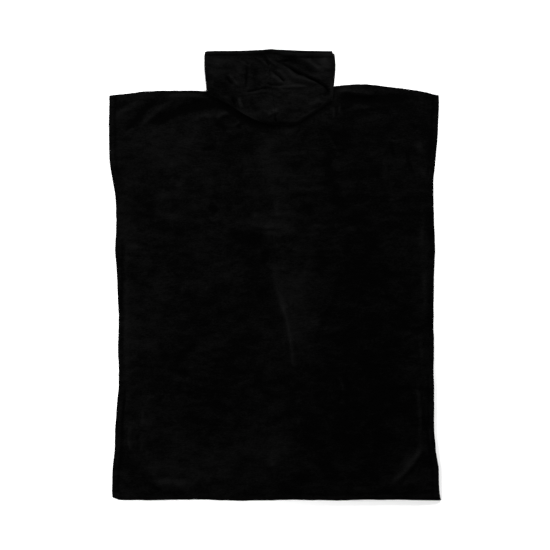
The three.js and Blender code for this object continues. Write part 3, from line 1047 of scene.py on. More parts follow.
@dataclass
class BackPanel(BodyPanel):
    """The upper layer with all its folds. The hood lies on it and presses it flat.

    Attributes:
        base: Height of its lower face where it is pressed flat.
        loft: How far it stands off what it lies on.
        hood: Outline of the turned-down hood.
        hem_lift: How much higher its lower face is where two hems lie on each other.
    """

    base: float = 0.0
    loft: float = 0.0
    hood: Outline | None = None
    hem_lift: float = 0.0

    EDGE_FADE = 24.0  # from the edge, over which the folds rise
    BILLOWS = (Unevenness(21, 150.0, 2, 1.3), Unevenness(22, 36.0, 3, 0.8))
    CORNER = 0.9  # share of the hem's depth that its stitches stop short of a corner
    HOOD_PRESS = (2.0, 26.0)  # from pressed flat to free, outside the hood

    def free_of_hood(self, x: Array, y: Array) -> Array:
        """Give 0 under the hood, rising to 1 where the hood no longer presses the cloth."""
        distance, side, _ = measure_to(x, y, self.hood.below())
        return smooth_step(np.where(side > 0, -1.0, 1.0) * distance, *self.HOOD_PRESS)

    def faces(self, x: Array, y: Array) -> tuple[Array, Array, Array]:
        """Work out the two faces.

        Args:
            x: Plan x.
            y: Plan y.

        Returns:
            Height of the upper face, of the lower face, and the lean of the pile.
        """
        reach = self.edge_distances(x, y)
        swell, band = self.hems(x, y, reach)
        edge = np.minimum.reduce(list(reach.values()))
        free = self.free_of_hood(x, y)
        relief = BACK_FOLDS.at(x, y) + sum_at(self.BILLOWS, x, y)
        lift = np.maximum(0, self.loft + relief)
        lift = lift * free * smooth_step(edge, 0, self.EDGE_FADE)
        resting = self.base + self.hem_lift * band * free
        half = (self.make.thickness + swell * free) / 2
        middle = resting + lift + half
        bulge = rounding(edge, half)
        # painted light on crests and painted shade in troughs by their height, painted shade in the hems'
        # stitch channels, and ovals of painted light and shade
        lean = self.make.painted_fold_light_per_mm * relief + self.make.hem_shade(reach["foot"])
        for side in Side:
            lean += self.make.hem_shade(reach[side.value]) * self.make.hemmed(side, y)
        lean += sum_at(BACK_PAINTED_LIGHT, x, y)
        return middle + half * bulge, middle - half * bulge, lean

    def top(self, x: Array, y: Array) -> Array:
        """Give the height of the upper face."""
        return self.faces(x, y)[0]

    def build(self, velour: bpy.types.Material) -> bpy.types.Object:
        """Make the panel."""
        x, y = self.lattice()
        return Shell(f"{self.node}_cloth", x, y, *self.faces(x, y)).build(velour)

    def stitches(self, thread: bpy.types.Material) -> bpy.types.Object:
        """Sew the foot hem, the two armhole hems and the two slit hems."""
        depth = self.make.hem
        corner = depth * self.CORNER
        rows = [StitchRow(self._inset(self.outline.foot, (0, depth), corner))]
        for side, sign in ((Side.LEFT, 1), (Side.RIGHT, -1)):
            edge = self._inset(getattr(self.outline, side.value), (sign * depth, 0), corner)
            slit = dict(self.make.slit_top)[side]
            rows.append(StitchRow(edge[edge[:, 1] > self.make.underarm]))
            rows.append(StitchRow(edge[edge[:, 1] < slit]))
        return sew("body_hem_stitches", rows, self.top, thread)

    @staticmethod
    def _inset(edge: Array, shift: tuple[float, float], cut: float) -> Array:
        """Shift an edge inwards and cut its ends off."""
        way = way_along(edge)
        return edge[(way > cut) & (way < way[-1] - cut)] + np.array(shift)


BACK_CREASES = (
    Crease(
        "crown trough",
        ((-176, 453), (-140, 444), (-112, 428), (-84, 410), (-50, 396), (-10, 388), (44, 391)),
        30,
        -4.0,
    ),
    Crease("left shoulder roll", ((-158, 461), (-205, 461), (-252, 463), (-300, 461)), 17, 3.6),
    Crease(
        "left inner trough",
        ((-124, 446), (-176, 440), (-225, 430), (-270, 414), (-305, 394), (-338, 368)),
        38,
        -4.8,
    ),
    Crease("left middle ridge", ((-262, 446), (-300, 426), (-332, 398), (-356, 372)), 24, 3.4),
    Crease(
        "left outer trough",
        ((-298, 453), (-330, 434), (-352, 412), (-374, 388), (-398, 370)),
        28,
        -4.4,
    ),
    Crease("left cuff swell", ((-336, 450), (-372, 431), (-404, 410), (-410, 384)), 32, 3.8),
    Crease("left cuff nick", ((-427, 457), (-402, 452)), 13, -1.6),
    Crease("left gather 1", ((-208, 399), (-184, 411), (-160, 405)), 18, 3.2),
    Crease("left gather 2", ((-156, 402), (-137, 413), (-118, 420)), 17, 4.8),
    Crease("left gather 3", ((-130, 374), (-112, 362), (-98, 355)), 14, 2.2),
    Crease("left gather 4", ((-164, 393), (-142, 385), (-122, 371)), 15, -2.6),
    Crease("left gather 5", ((-116, 405), (-96, 384), (-84, 372)), 13, -1.8),
    Crease("left gather 6", ((-74, 388), (-56, 366)), 13, 1.8),
    Crease("left gather 7", ((-114, 384), (-100, 392), (-88, 400)), 12, 3.6),
    Crease("left dash 1", ((-198, 327), (-176, 326), (-150, 327)), 15, -2.8),
    Crease("left dash 2", ((-254, 375), (-230, 364)), 13, -2.0),
    Crease("left dash 3", ((-264, 252), (-238, 247)), 17, -2.0),
    Crease("left dash 4", ((-264, 231), (-238, 229)), 12, 2.0),
    Crease("right shoulder roll", ((154, 473), (185, 477), (216, 471), (270, 468)), 16, 3.8),
    Crease("right shoulder trough", ((148, 456), (200, 455), (250, 453), (305, 456), (356, 463)), 33, -5.0),
    Crease("right lower roll", ((186, 431), (225, 430), (266, 435)), 19, 3.0),
    Crease("right neck pleat 1", ((150, 440), (151, 422), (152, 400)), 9, 4.2),
    Crease("right neck pleat 2", ((160, 440), (160, 408)), 9, -2.4),
    Crease("right neck pleat 3", ((167, 446), (168, 430), (167, 412)), 9, 4.2),
    Crease("right neck pleat 4", ((178, 440), (179, 398)), 10, -1.6),
    Crease("right crown dash", ((118, 429), (132, 432), (146, 435)), 13, -3.0),
    Crease("right neck crease", ((134, 376), (146, 360), (156, 341), (166, 324)), 13, -3.6),
    Crease("right neck dash", ((144, 369), (166, 360), (194, 355)), 14, -3.0),
    Crease("right neck ridge", ((139, 358), (152, 334), (167, 302)), 11, 3.0),
    Crease("right long hollow", ((128, 350), (134, 300), (150, 230), (168, 142)), 46, -2.2),
    Crease("right field ridge", ((282, 304), (285, 270), (279, 236)), 18, 2.0),
    Crease("right field crease", ((301, 344), (306, 316), (316, 298)), 15, -2.6),
    Crease("right side crease", ((346, 328), (344, 300), (350, 278), (364, 254)), 17, -2.8),
    Crease("right side swell 1", ((372, 348), (376, 322), (390, 302)), 26, 2.6),
    Crease("right side swell 2", ((378, 272), (387, 246)), 20, 2.2),
    Crease("ripple 1", ((4, 313), (40, 310), (88, 314)), 20, 1.8),
    Crease("ripple 2", ((18, 291), (52, 284), (86, 291)), 25, -2.8),
    Crease("ripple 3", ((12, 257), (36, 258), (64, 251)), 18, 1.9),
    Crease("ripple 4", ((-4, 236), (20, 230), (42, 223)), 17, -2.0),
    Crease("ripple 5", ((44, 222), (82, 216), (132, 224)), 15, 2.0, 0.2),
    Crease("ripple 6", ((30, 200), (70, 205), (96, 200)), 13, -1.5),
    Crease("ripple 7", ((-36, 158), (0, 154), (46, 160)), 16, 1.6),
    Crease("waist ridge", ((-72, 134), (-50, 127), (-26, 124), (2, 123)), 17, 2.6, 0.3),
    Crease("waist ridge middle", ((-34, 121), (-10, 122), (12, 121), (36, 117)), 15, 2.3, 0.3),
    Crease("waist ridge right", ((84, 118), (108, 124), (136, 115)), 15, 1.8),
    Crease("waist bump 1", ((-54, 156), (-42, 142)), 20, 2.2),
    Crease("waist bump 2", ((8, 204), (4, 172), (12, 140)), 22, 2.0),
    Crease("waist bump 3", ((108, 176), (112, 148)), 22, 2.2),
    Crease("waist bump 4", ((2, 84), (8, 66)), 15, 2.0),
    Crease("waist hollow", ((-128, 96), (-80, 92), (-44, 86), (-12, 84)), 46, -2.8),
    Crease("waist pit", ((-40, 56), (-24, 44), (-34, 22)), 22, -3.0),
    Crease("waist hollow right", ((12, 98), (34, 92), (56, 96)), 24, -2.4),
    Crease("centre ridge upper", ((-6, 34), (2, -8), (10, -52), (20, -92), (32, -130)), 30, 3.6, 0.25),
    Crease(
        "centre ridge",
        ((8, -30), (18, -74), (30, -116), (37, -150), (41, -190), (45, -226), (64, -272)),
        19,
        4.6,
        0.3,
        1.6,
    ),
    Crease("centre leaf", ((52, 16), (62, -50), (64, -120), (60, -200)), 110, 1.9),
    Crease("leaf border", ((172, 10), (154, -64), (124, -124), (98, -204)), 26, -1.4),
    Crease("right side ridge 1", ((378, 204), (383, 150), (382, 90), (385, 30)), 19, 2.4),
    Crease("right side ridge 2", ((386, 10), (388, -60), (385, -110)), 17, 3.2),
    Crease("right side ridge 3", ((372, -142), (378, -190), (382, -240)), 16, 2.2),
    Crease("right side ridge 4", ((368, -270), (372, -320), (376, -385), (375, -446)), 17, 4.2),
    Crease("right side ridge 5", ((396, -384), (400, -415), (403, -450)), 11, 2.6),
    Crease(
        "right foot roll",
        ((376, -424), (368, -462), (346, -490), (324, -516), (292, -546)),
        27,
        5.8,
        0.1,
    ),
    Crease("right foot swell", ((352, -456), (338, -480), (318, -498)), 26, 2.0),
    Crease("right edge groove", ((399, 240), (401, 60), (400, -120), (402, -240)), 13, -1.6),
    Crease("right side nick 1", ((340, -113), (379, -119)), 12, -1.7),
    Crease("right side nick 2", ((342, -130), (380, -134)), 12, 1.4),
    Crease("left edge groove", ((-393, 116), (-395, 0), (-396, -150), (-394, -270)), 14, -3.2),
    Crease("left slit groove", ((-390, -296), (-392, -380), (-394, -470), (-396, -520)), 9, -2.2),
    Crease("left side ridge", ((-380, 60), (-381, -150), (-380, -380)), 22, 1.4),
    Crease("left foot ridge", ((-372, -384), (-377, -424), (-371, -462)), 17, 3.8),
    Crease("left foot ridge 2", ((-346, -340), (-342, -372), (-350, -402)), 15, 2.2),
    Crease("left foot hollow", ((-352, -400), (-356, -430), (-350, -468)), 15, -2.8),
    Crease("left foot dimple", ((-232, -308), (-212, -304)), 22, -3.2),
    Crease("left corner dimple", ((-384, -508), (-360, -518)), 22, -2.6),
    Crease("left foot roll", ((-318, -546), (-286, -538), (-250, -540), (-224, -548)), 34, 3.4),
    Crease("left foot groove", ((-340, -532), (-316, -549), (-292, -562)), 14, -3.2),
    Crease("left side nick 1", ((-390, 52), (-348, 50)), 13, -2.0),
    Crease("left side nick 2", ((-388, 70), (-342, 72)), 15, 1.6),
    Crease("left side nick 3", ((-386, 33), (-350, 36)), 12, 1.2),
    Crease("left field dimple", ((-172, 186), (-150, 160)), 28, -3.8),
    Crease("left field arc", ((-176, 154), (-158, 142), (-138, 148)), 12, 2.4),
    Crease("left field fold 1", ((-150, 148), (-132, 110)), 13, -2.0),
    Crease("left field fold 2", ((-134, 152), (-116, 118)), 13, 1.6),
    Crease("left field swell 1", ((-338, 214), (-284, 202), (-230, 208)), 30, 1.8),
    Crease("left field swell 2", ((-322, 168), (-262, 150), (-214, 156)), 26, 1.7),
    Crease("left field swell 3", ((-300, 20), (-310, -90), (-286, -170)), 70, 1.6),
    Crease("lower left hollow", ((-190, -172), (-232, -204), (-268, -236)), 34, -2.2),
    Crease("lower left dimple", ((-244, -246), (-228, -262)), 24, -2.4),
    Crease("lower middle fold", ((-146, -312), (-88, -284), (-30, -262)), 22, 1.5),
    Crease("lower middle hollow", ((-34, -388), (20, -370), (79, -346)), 28, -2.0),
    Crease("lower right fold 1", ((170, -256), (186, -284), (188, -312), (180, -342)), 16, -3.2),
    Crease("lower right fold 2", ((176, -296), (166, -318), (160, -336)), 12, -2.0),
    Crease("lower right fold 3", ((162, -262), (173, -288), (174, -316)), 11, 2.6),
    Crease("foot swell left", ((-326, -504), (-268, -484)), 56, 2.0),
    Crease("foot swell middle", ((-12, -506), (8, -446)), 46, 1.8),
    Crease("foot swell right", ((196, -470), (238, -500)), 50, 1.4),
)

BACK_FOLDS = CreaseSet(BACK_CREASES, 11, 640, (-410, -570, 410, 430), slant=12, gain=1.2)

# ovals of painted light and shade, partly pile lying another way: lighter towards the upper left and on lit
# rolls and gathers, painted shadow against the hood and darker towards the lower right
BACK_PAINTED_LIGHT = (
    PaintedLightPatch("below the hood", (-24, 316), (64, 32), 90, 0.3),
    PaintedLightPatch("upper left", (-290, 330), (150, 90), 10, 0.14),
    PaintedLightPatch("centre column", (10, 240), (130, 60), 90, 0.12),
    PaintedLightPatch("waist", (10, 130), (96, 34), 0, 0.1),
    PaintedLightPatch("waist hollow", (-50, 62), (70, 46), 0, -0.12),
    PaintedLightPatch("leaf", (58, -60), (150, 60), 96, 0.09),
    PaintedLightPatch("beside the ridge", (34, -70), (110, 20), 100, 0.07),
    PaintedLightPatch("left foot roll", (-276, -538), (46, 15), 4, 0.08),
    PaintedLightPatch("right foot corner", (330, -500), (80, 30), 48, 0.12),
    PaintedLightPatch("left edge", (-380, -60), (420, 46), 90, 0.11),
    PaintedLightPatch("foot left", (-230, -490), (190, 70), 0, 0.1),
    PaintedLightPatch("foot middle", (0, -480), (100, 70), 0, 0.08),
    PaintedLightPatch("right field", (230, 40), (330, 100), 90, -0.1),
    PaintedLightPatch("lower right", (236, -340), (220, 160), 90, -0.2),
    PaintedLightPatch("right shoulder", (250, 440), (130, 26), 0, -0.1),
    PaintedLightPatch("left of the hood", (-190, 440), (70, 20), -8, -0.12),
    PaintedLightPatch("left gathers", (-168, 409), (40, 18), 24, 0.16),
    PaintedLightPatch("right neck pleats", (158, 420), (26, 16), 90, 0.1),
    PaintedLightPatch("against the crown", (-70, 396), (84, 15), -22, -0.2),
    PaintedLightPatch("lower left", (-110, -230), (90, 60), 20, -0.06),
    PaintedLightPatch("lower left field", (-170, -330), (170, 100), 0, -0.08),
)


# ------------------------------------------------------------------ the hood


HOOD_CREASES = (
    Crease(
        "main crease",
        (
            *((-4, 549), (12, 545), (31, 536), (50, 526), (70, 517)),
            *((92, 508), (111, 499), (123, 490), (134, 482)),
        ),
        15,
        -6.0,
        0.0,
        1.3,
    ),
    Crease("main ridge", ((18, 535), (34, 526), (50, 514), (66, 507), (90, 500), (113, 491)), 22, 4.6, -0.3),
    Crease("flap hollow", ((0, 556), (32, 552), (62, 545), (92, 526), (118, 510)), 26, -3.4),
    Crease("flap line", ((-6, 549), (12, 549), (34, 551), (54, 550)), 9, -2.4, 0.0, 1.4),
    Crease("flap ridge", ((76, 553), (88, 546), (101, 535), (118, 521)), 17, 3.6, 0.3),
    Crease("top right swell", ((122, 562), (130, 545), (136, 522)), 40, 2.6),
    Crease("second crease", ((-12, 532), (-6, 525), (6, 516), (16, 507), (28, 494)), 11, -4.4, 0.0, 1.3),
    Crease("second crease ridge", ((2, 531), (14, 521), (24, 512), (34, 500)), 11, 2.2),
    Crease("middle ridge", ((-10, 517), (0, 508), (12, 500), (26, 490)), 18, 3.6),
    Crease("slant ridge", ((-52, 566), (-38, 555), (-26, 543), (-12, 533)), 11, 2.8),
    Crease("slant crease", ((-40, 569), (-26, 556), (-20, 538), (-24, 521)), 10, -2.6, 0.0, 1.4),
    Crease("slant ridge 2", ((-22, 558), (-6, 545), (6, 536)), 10, 2.2),
    Crease("upright crease", ((-71, 556), (-72, 528), (-74, 498), (-78, 470)), 13, -4.0, 0.0, 1.3),
    Crease("upright swell", ((-86, 550), (-92, 520), (-90, 496)), 26, 1.8),
    Crease("upright hollow", ((-58, 546), (-54, 520), (-52, 496)), 24, -2.0),
    Crease("cross crease", ((-80, 471), (-62, 474), (-44, 478), (-20, 481), (-2, 483)), 10, -4.2, 0.0, 1.3),
    Crease("cross swell", ((-64, 466), (-40, 470), (-16, 473)), 12, 2.2),
    Crease("short cross crease", ((-25, 494), (-8, 490), (14, 491)), 11, -3.4, 0.0, 1.4),
    Crease("cross ridge", ((-14, 483), (18, 484), (54, 487), (92, 484)), 12, 2.4),
    Crease("left crease", ((-126, 512), (-119, 500), (-108, 488)), 15, -3.6, 0.0, 1.4),
    Crease("left crease ridge", ((-119, 518), (-107, 499), (-95, 482)), 14, 3.4),
    Crease("left hollow", ((-166, 492), (-142, 482), (-112, 474)), 56, -2.2),
    Crease("left top swell", ((-168, 552), (-140, 548), (-100, 552)), 28, 2.2),
    Crease("left bump 1", ((-152, 545), (-140, 530)), 20, 1.8),
    Crease("left bump 2", ((-168, 530), (-162, 516)), 18, 1.4),
    Crease("crown ridge 1", ((-130, 462), (-124, 450), (-113, 438)), 14, 2.4),
    Crease("crown trough 1", ((-112, 460), (-105, 444), (-97, 430)), 12, -3.2),
    Crease("crown ridge 2", ((-92, 458), (-88, 441), (-81, 424)), 14, 4.6),
    Crease("crown edge ridge", ((-100, 430), (-84, 420), (-66, 410), (-42, 402)), 14, 5.0),
    Crease("crown trough 2", ((-62, 458), (-56, 440), (-48, 424), (-34, 414)), 20, -2.2),
    Crease("crown bump 1", ((-2, 428), (2, 416)), 24, 4.2),
    Crease("crown bump 2", ((-20, 415), (-10, 410)), 16, 3.4),
    Crease("crown pinch", ((-1, 408), (1, 395)), 9, -3.0),
    Crease("right field swell", ((36, 470), (60, 458), (84, 452)), 24, 1.6),
    Crease("right field dip 1", ((34, 444), (46, 440)), 14, -1.8),
    Crease("right field dip 2", ((70, 446), (82, 438)), 14, -1.4),
    Crease("right crown swell", ((86, 432), (102, 440), (116, 452)), 24, 3.2),
    Crease("right crown roll", ((66, 407), (90, 415), (112, 428), (136, 446)), 12, 2.8),
    Crease("right crown dip", ((26, 424), (54, 420), (76, 426)), 16, -1.4),
    Crease("right side hollow", ((128, 492), (134, 474), (130, 454)), 17, -2.8),
    Crease(
        "main crease end",
        ((78, 514), (104, 502), (124, 490), (138, 474), (141, 456)),
        12,
        -4.6,
        0.0,
        1.3,
    ),
    Crease("right side roll", ((147, 506), (148, 480), (146, 454)), 10, 4.6),
)

HOOD_FOLDS = CreaseSet(HOOD_CREASES, 29, 60, (-170, 400, 145, 560), slant=-20, gain=1.1)

# ovals of painted light and shade: painted highlights on the hood's rolled edges, ridges and lobes, painted
# shade under the crown, under the flap and along the turned edge
HOOD_PAINTED_LIGHT = (
    PaintedLightPatch("top right", (122, 552), (36, 26), 70, 0.26),
    PaintedLightPatch("middle", (32, 494), (62, 22), -10, 0.28),
    PaintedLightPatch("crown", (30, 430), (90, 30), 0, 0.06),
    PaintedLightPatch("lower left", (-148, 474), (62, 34), -8, -0.16),
    PaintedLightPatch("left turned edge", (-136, 444), (46, 8), -28, -0.2),
    PaintedLightPatch("left crown edge", (-68, 409), (36, 8), -27, 0.26),
    PaintedLightPatch("left crown side", (-88, 440), (28, 8), -68, 0.2),
    PaintedLightPatch("under the crown", (-4, 389), (56, 8), 0, -0.32),
    PaintedLightPatch("crown bump", (0, 420), (13, 11), 0, 0.24),
    PaintedLightPatch("right crown edge", (92, 418), (48, 8), 31, 0.2),
    PaintedLightPatch("right fold", (147, 480), (28, 6), 90, 0.24),
    PaintedLightPatch("right lobe", (112, 520), (34, 10), -32, 0.12),
    PaintedLightPatch("beside the upright crease", (-56, 515), (42, 18), 90, -0.1),
    PaintedLightPatch("under the flap", (50, 546), (50, 13), -24, -0.16),
)


@dataclass
class Hood:
    """The hood turned down on the back: a flattened bag, its mouth up and its crown down.

    Attributes:
        make: Sizes shared by all the cloth.
        left: Outline of the left half.
        right: Outline of the right half.
        shoulder: Line along the top of the body.
        panel_top: Height of the pressed body's upper face.
        rim: Height of the upper face at the folded edges, before they turn down.
        rise: How much higher the middle is.
    """

    make: ClothMake
    left: Outline
    right: Outline
    shoulder: Array
    panel_top: float
    rim: float = 12.9
    rise: float = 5.0

    PITCH = 2.6
    UNDER_PITCH = 1.6 * PITCH
    ROLL = 9.0  # how far in from a folded edge the cloth still turns down
    DOME = 46.0  # how far in the hood keeps rising
    STEP = 14.0  # over which the hood comes down from the body to the surface
    MOUTH_HEM = 11.0
    TUCK = 3.8  # how far the hidden layers lie inside the folds
    LEAN = 0.15  # lifts the lean all over the hood, so it shows lighter than the body
    MOUTH_INSET = (  # x, and how far the upper layer's edge lies below the outline there
        *((-190, 2.5), (-110, 3.0), (-40, 3.0), (-8, 1.5)),
        *((10, 4.0), (30, 9.5), (60, 10.0), (150, 7.5)),
    )
    BILLOWS = (Unevenness(33, 70.0, 2, 0.9), Unevenness(34, 24.0, 2, 0.5))
    FOLD_EDGE = 13.0  # from a folded edge, over which the creases rise
    HEM_START = 12.0  # from a folded edge, over which the hem swells
    ALLOWANCE, ALLOWANCE_EDGE = 0.5, (7.0, 11.0)  # height and end of the allowance under the seam
    SEAM_DIP, SEAM_EDGE = 1.0, (0.0, 3.5)  # depth and width of the seam's own line
    MOUTH_RADIUS, SEAM_RADIUS, RIM_RADIUS = 1.8, 0.6, 0.01
    UNDER_RADII = (2.4, 2.6, 1.2)  # of the outer and the inner hidden layer, and of their rim
    UNDER_STEP = 3.6  # from the outer hidden layer's edge to the inner one's
    UNDER_LEAST = 0.3  # least thickness of the hidden layers
    FOOT_TUCK = 1.3 * TUCK  # the same at the crown, which rolls over more

    def ground(self, x: Array, y: Array) -> Array:
        """Give the height of what the hood lies on: the body, or the surface beyond it."""
        line = np.interp(x, self.shoulder[:, 0], self.shoulder[:, 1])
        return (self.panel_top + self.make.gap) * smooth_fall(y - line, 1, self.STEP + 1)

    def form(self, x: Array, y: Array) -> Array:
        """Give the height of the upper face before its edges turn down."""
        distance = measure_to(x, y, self.whole().below())[0]
        dome = self.rise * np.sqrt(smooth_step(distance, 0, self.DOME))
        return self.rim + dome + self.relief(x, y) * smooth_step(distance, 0, self.FOLD_EDGE)

    def relief(self, x: Array, y: Array) -> Array:
        """Give the height of the creases and smaller unevenness."""
        return HOOD_FOLDS.at(x, y) + sum_at(self.BILLOWS, x, y)

    def inner_face(self, x: Array, y: Array) -> Array:
        """Give the height of the inside of the part that shows."""
        ground = self.ground(x, y)
        fold = measure_to(x, y, self.whole().below())[0]
        height = self.form(x, y) - self.make.thickness - ground
        return ground + height * rounding(fold - self.make.thickness, self.ROLL)

    def half_faces(self, x: Array, y: Array, mouth: Array, seam: Array) -> tuple[Array, Array]:
        """Work out the faces of a half.

        Args:
            x: Plan x.
            y: Plan y.
            mouth: Line of the hemmed edge of the face opening.
            seam: Line of the centre seam.

        Returns:
            Height of the upper and of the lower face.
        """
        make = self.make
        ground = self.ground(x, y)
        fold = measure_to(x, y, self.whole().below())[0]
        opening = measure_to(x, y, mouth)[0]
        join = measure_to(x, y, seam)[0]
        hem = make.hem_section(opening * make.hem / self.MOUTH_HEM)
        hem = hem * smooth_step(fold, 0, self.HEM_START)
        allowance = self.ALLOWANCE * smooth_fall(join, *self.ALLOWANCE_EDGE)
        allowance = allowance - self.SEAM_DIP * smooth_fall(join, *self.SEAM_EDGE)
        height = self.form(x, y) + hem + allowance
        outer = ground + (height - ground) * rounding(fold, self.ROLL)
        inner = np.minimum(self.inner_face(x, y), outer)
        edge = np.minimum(rounding(opening, self.MOUTH_RADIUS), rounding(join, self.SEAM_RADIUS))
        middle = (outer + inner) / 2
        outer, inner = middle + (outer - middle) * edge, middle + (inner - middle) * edge
        on_rim = rounding(fold, self.RIM_RADIUS)
        return ground + (outer - ground) * on_rim, ground + (inner - ground) * on_rim

    def lowered(self, top: Array) -> Array:
        """Bring a top edge down to the upper layer's hemmed edge, below the under layer's."""
        inset = np.array(self.MOUTH_INSET, float)
        down = np.interp(top[:, 0], inset[:, 0], inset[:, 1])
        return top - np.stack([np.zeros(len(down)), down], axis=1)

    def mouth_line(self) -> Array:
        """Give the line of the upper layer's whole hemmed edge."""
        return self.lowered(self.whole().top)

    def half(self, side: Side, velour: bpy.types.Material) -> bpy.types.Object:
        """Make one half of the part that shows."""
        outline = self.left if side is Side.LEFT else self.right
        seam = self.left.right
        mouth = self.mouth_line()
        top = self.lowered(outline.top)
        shortened = Outline(
            foot=outline.foot,
            top=top,
            left=self._shorten(outline.left, top[0]),
            right=self._shorten(outline.right, top[-1]),
        )
        width = np.ptp(outline.top[:, 0])
        height = max(np.ptp(outline.left[:, 1]), np.ptp(outline.right[:, 1]))
        x, y = shortened.plan(lattice_lines(width, self.PITCH), lattice_lines(height, self.PITCH))
        upper, lower = self.half_faces(x, y, mouth, seam)
        # painted light on crests and painted shade in troughs by their height, painted shade in the hem's
        # stitch channel, and ovals of painted light and shade
        hem = self.make.hem_shade(measure_to(x, y, mouth)[0] * self.make.hem / self.MOUTH_HEM)
        lean = self.make.painted_fold_light_per_mm * self.relief(x, y) + hem + self.LEAN
        lean += sum_at(HOOD_PAINTED_LIGHT, x, y)
        return Shell(f"hood_{side.value}_cloth", x, y, upper, lower, lean).build(velour)

    def stitches(self, side: Side, thread: bpy.types.Material) -> bpy.types.Object:
        """Sew a half's part of the hem of the face opening, clear of its fold and its seam."""
        mouth = self.mouth_line()
        ends = (self.left if side is Side.LEFT else self.right).top[[0, -1], 0]
        row = mouth - np.array((0, self.MOUTH_HEM))
        clear = (row[:, 0] > ends[0] + self.ROLL) & (row[:, 0] < ends[1] - self.ROLL)

        def surface(x: Array, y: Array) -> Array:
            """Give the height of the hem at plan points."""
            return self.half_faces(x, y, mouth, self.left.right)[0]

        return sew(f"hood_{side.value}_hem_stitches", [StitchRow(row[clear])], surface, thread)

    def under(self, velour: bpy.types.Material) -> bpy.types.Object:
        """Make the layers folded out of sight, as one rounded solid with layers at its mouth."""
        whole = self.whole()
        middle = (whole.foot[0] + whole.foot[-1]) / 2
        half_width = abs(whole.foot[-1][0] - whole.foot[0][0]) / 2

        def squeezed(edge: Array) -> Array:
            """Bring an edge in from the folds."""
            high = np.interp(edge[:, 0], whole.top[:, 0], whole.top[:, 1])
            low = np.interp(edge[:, 0], whole.foot[:, 0], whole.foot[:, 1])
            share = (edge[:, 1] - low) / (high - low)
            x = middle[0] + (edge[:, 0] - middle[0]) * (1 - self.TUCK / half_width)
            return np.stack([x, edge[:, 1] + (1 - share) * self.FOOT_TUCK], axis=1)

        edges = (whole.foot, whole.top, whole.left, whole.right)
        inside = Outline(*(squeezed(edge) for edge in edges))
        height = np.ptp(whole.loop()[:, 1])
        across = lattice_lines(2 * half_width, self.UNDER_PITCH)
        x, y = inside.plan(across, lattice_lines(height, self.UNDER_PITCH))
        rim = measure_to(x, y, inside.loop())[0]
        mouth = measure_to(x, y, inside.top)[0]
        ground = self.ground(x, y)
        top = self.inner_face(x, y) - self.make.gap
        outer, inner, edge = self.UNDER_RADII
        layers = (rounding(mouth, outer) + rounding(mouth - self.UNDER_STEP, inner)) / 2
        thickness = np.maximum(top - ground, self.UNDER_LEAST)
        upper = ground + thickness * layers * rounding(rim, edge)
        lean = np.zeros(x.shape)
        return Shell("hood_under_layers_cloth", x, y, upper, ground, lean).build(velour)

    def whole(self) -> Outline:
        """Give the outline of the whole hood."""
        return Outline(
            foot=np.vstack([self.left.foot, self.right.foot[1:]]),
            top=np.vstack([self.left.top, self.right.top[1:]]),
            left=self.left.left,
            right=self.right.right,
        )

    @staticmethod
    def _shorten(edge: Array, end: Array) -> Array:
        """Cut an upright edge off at a lower end point."""
        return np.vstack([edge[edge[:, 1] < end[1] - 1], end])


# ------------------------------------------------------------------ studio


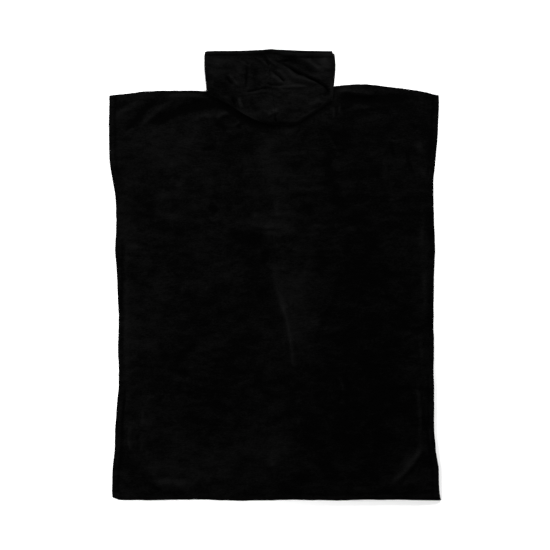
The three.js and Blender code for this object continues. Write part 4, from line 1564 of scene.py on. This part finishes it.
@dataclass(frozen=True)
class Studio:
    """Plain white floor under broad soft light, seen from straight above.

    Attributes:
        width: Width of the picture at the surface, in metres.
        lens: Focal length in millimetres.
    """

    width: float = 1.415
    lens: float = 85.0

    SENSOR = 36.0
    FLOOR = 14.0  # width of the floor, in metres
    FLOOR_GAP = 0.2 * MM  # keeps the garment's flat underside clear of it
    AIM = (0.0, 0.1, 0.0)  # where the soft boxes face
    ALL_ROUND = 0.35  # strength of the light from all round
    BOXES = (  # name, place, size in metres and power in watts of each soft box
        ("key", (0.7, 3.1, 1.35), 1.0, 260.0),
        ("side", (-1.9, -0.2, 1.5), 0.8, 80.0),
    )

    def camera(self) -> None:
        """Look straight down on the middle of the garment, its hood up in the picture."""
        low, high = CAD_BOX
        data = bpy.data.cameras.new("overhead")
        data.lens, data.sensor_width = self.lens, self.SENSOR
        camera = bpy.data.objects.new("overhead", data)
        distance = self.width * self.lens / self.SENSOR
        middle = (low + high) / 2
        camera.location = (middle.x, middle.y, high.z + distance)
        bpy.context.scene.collection.objects.link(camera)
        bpy.context.scene.camera = camera

    def floor(self) -> None:
        """Lay the floor just under the garment."""
        mesh = bpy.data.meshes.new("floor")
        half = self.FLOOR / 2
        corners = [(-half, -half, 0), (half, -half, 0), (half, half, 0), (-half, half, 0)]
        mesh.from_pydata(corners, [], [(0, 1, 2, 3)])
        mesh.materials.append(MattePaper().build())
        floor = bpy.data.objects.new("floor", mesh)
        floor.location.z = CAD_BOX[0].z - self.FLOOR_GAP
        bpy.context.scene.collection.objects.link(floor)

    def lamp(self, name: str, place: tuple[float, float, float], size: float, watts: float) -> None:
        """Hang one square soft box that faces the garment."""
        data = bpy.data.lights.new(name, "AREA")
        data.shape, data.size, data.energy = "SQUARE", size, watts
        lamp = bpy.data.objects.new(name, data)
        lamp.location = place
        aim = Vector(self.AIM) - lamp.location
        lamp.rotation_euler = aim.to_track_quat("-Z", "Y").to_euler()
        bpy.context.scene.collection.objects.link(lamp)

    def light(self) -> None:
        """Light low from above the hood and from the left, with a little from all round."""
        world = bpy.data.worlds.new("studio")
        world.use_nodes = True
        backdrop = world.node_tree.nodes["Background"]
        backdrop.inputs["Color"].default_value = linear("#ffffff")
        backdrop.inputs["Strength"].default_value = self.ALL_ROUND
        bpy.context.scene.world = world
        for box in self.BOXES:
            self.lamp(*box)

    def build(self) -> None:
        """Set up the camera, the floor and the light."""
        self.camera()
        self.floor()
        self.light()
        scene = bpy.context.scene
        scene.view_settings.view_transform = "Standard"
        scene.view_settings.look = "None"


def report(piece: bpy.types.Object) -> None:
    """Log a finished piece with its number of points."""
    LOG.info("%s: %d points", piece.name, len(piece.data.vertices))


def main() -> None:
    """Build the studio and every piece of the poncho, and report each."""
    logging.basicConfig(level=logging.INFO, format="%(name)s: %(message)s")
    Studio().build()
    velour, thread = ShearedVelour().build(), SpunThread().build()
    make = ClothMake()
    hood_left, hood_right = SolidReader("hood_left").outline(), SolidReader("hood_right").outline()
    front = FrontPanel("front_panel", make, pitch=12.0)
    back_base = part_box("back_panel")[0].z / MM
    shoulder = SolidReader("back_panel").outline().top
    hood = Hood(make, hood_left, hood_right, shoulder, back_base + make.thickness)
    back = BackPanel(
        "back_panel",
        make,
        pitch=4.8,
        base=back_base,
        loft=2.2,
        hood=hood.whole(),
        hem_lift=front.top_at_hem() + make.gap - back_base,
    )
    front_piece = front.build(velour)
    report(front_piece)
    declare_cloth(front_piece, front.node, front.outline, Held.LAID)
    back_piece = back.build(velour)
    report(back_piece)
    back_stitches = back.stitches(thread)
    report(back_stitches)
    declare_cloth(back_piece, back.node, back.outline, Held.LAID)
    under = hood.under(velour)
    report(under)
    declare_cloth(under, "hood_under_layers", hood.whole(), Held.FOLDED)
    for side, outline in ((Side.LEFT, hood_left), (Side.RIGHT, hood_right)):
        half, half_stitches = hood.half(side, velour), hood.stitches(side, thread)
        report(half)
        report(half_stitches)
        declare_cloth(half, f"hood_{side.value}", outline, Held.FOLDED)


if __name__ == "__main__":
    main()
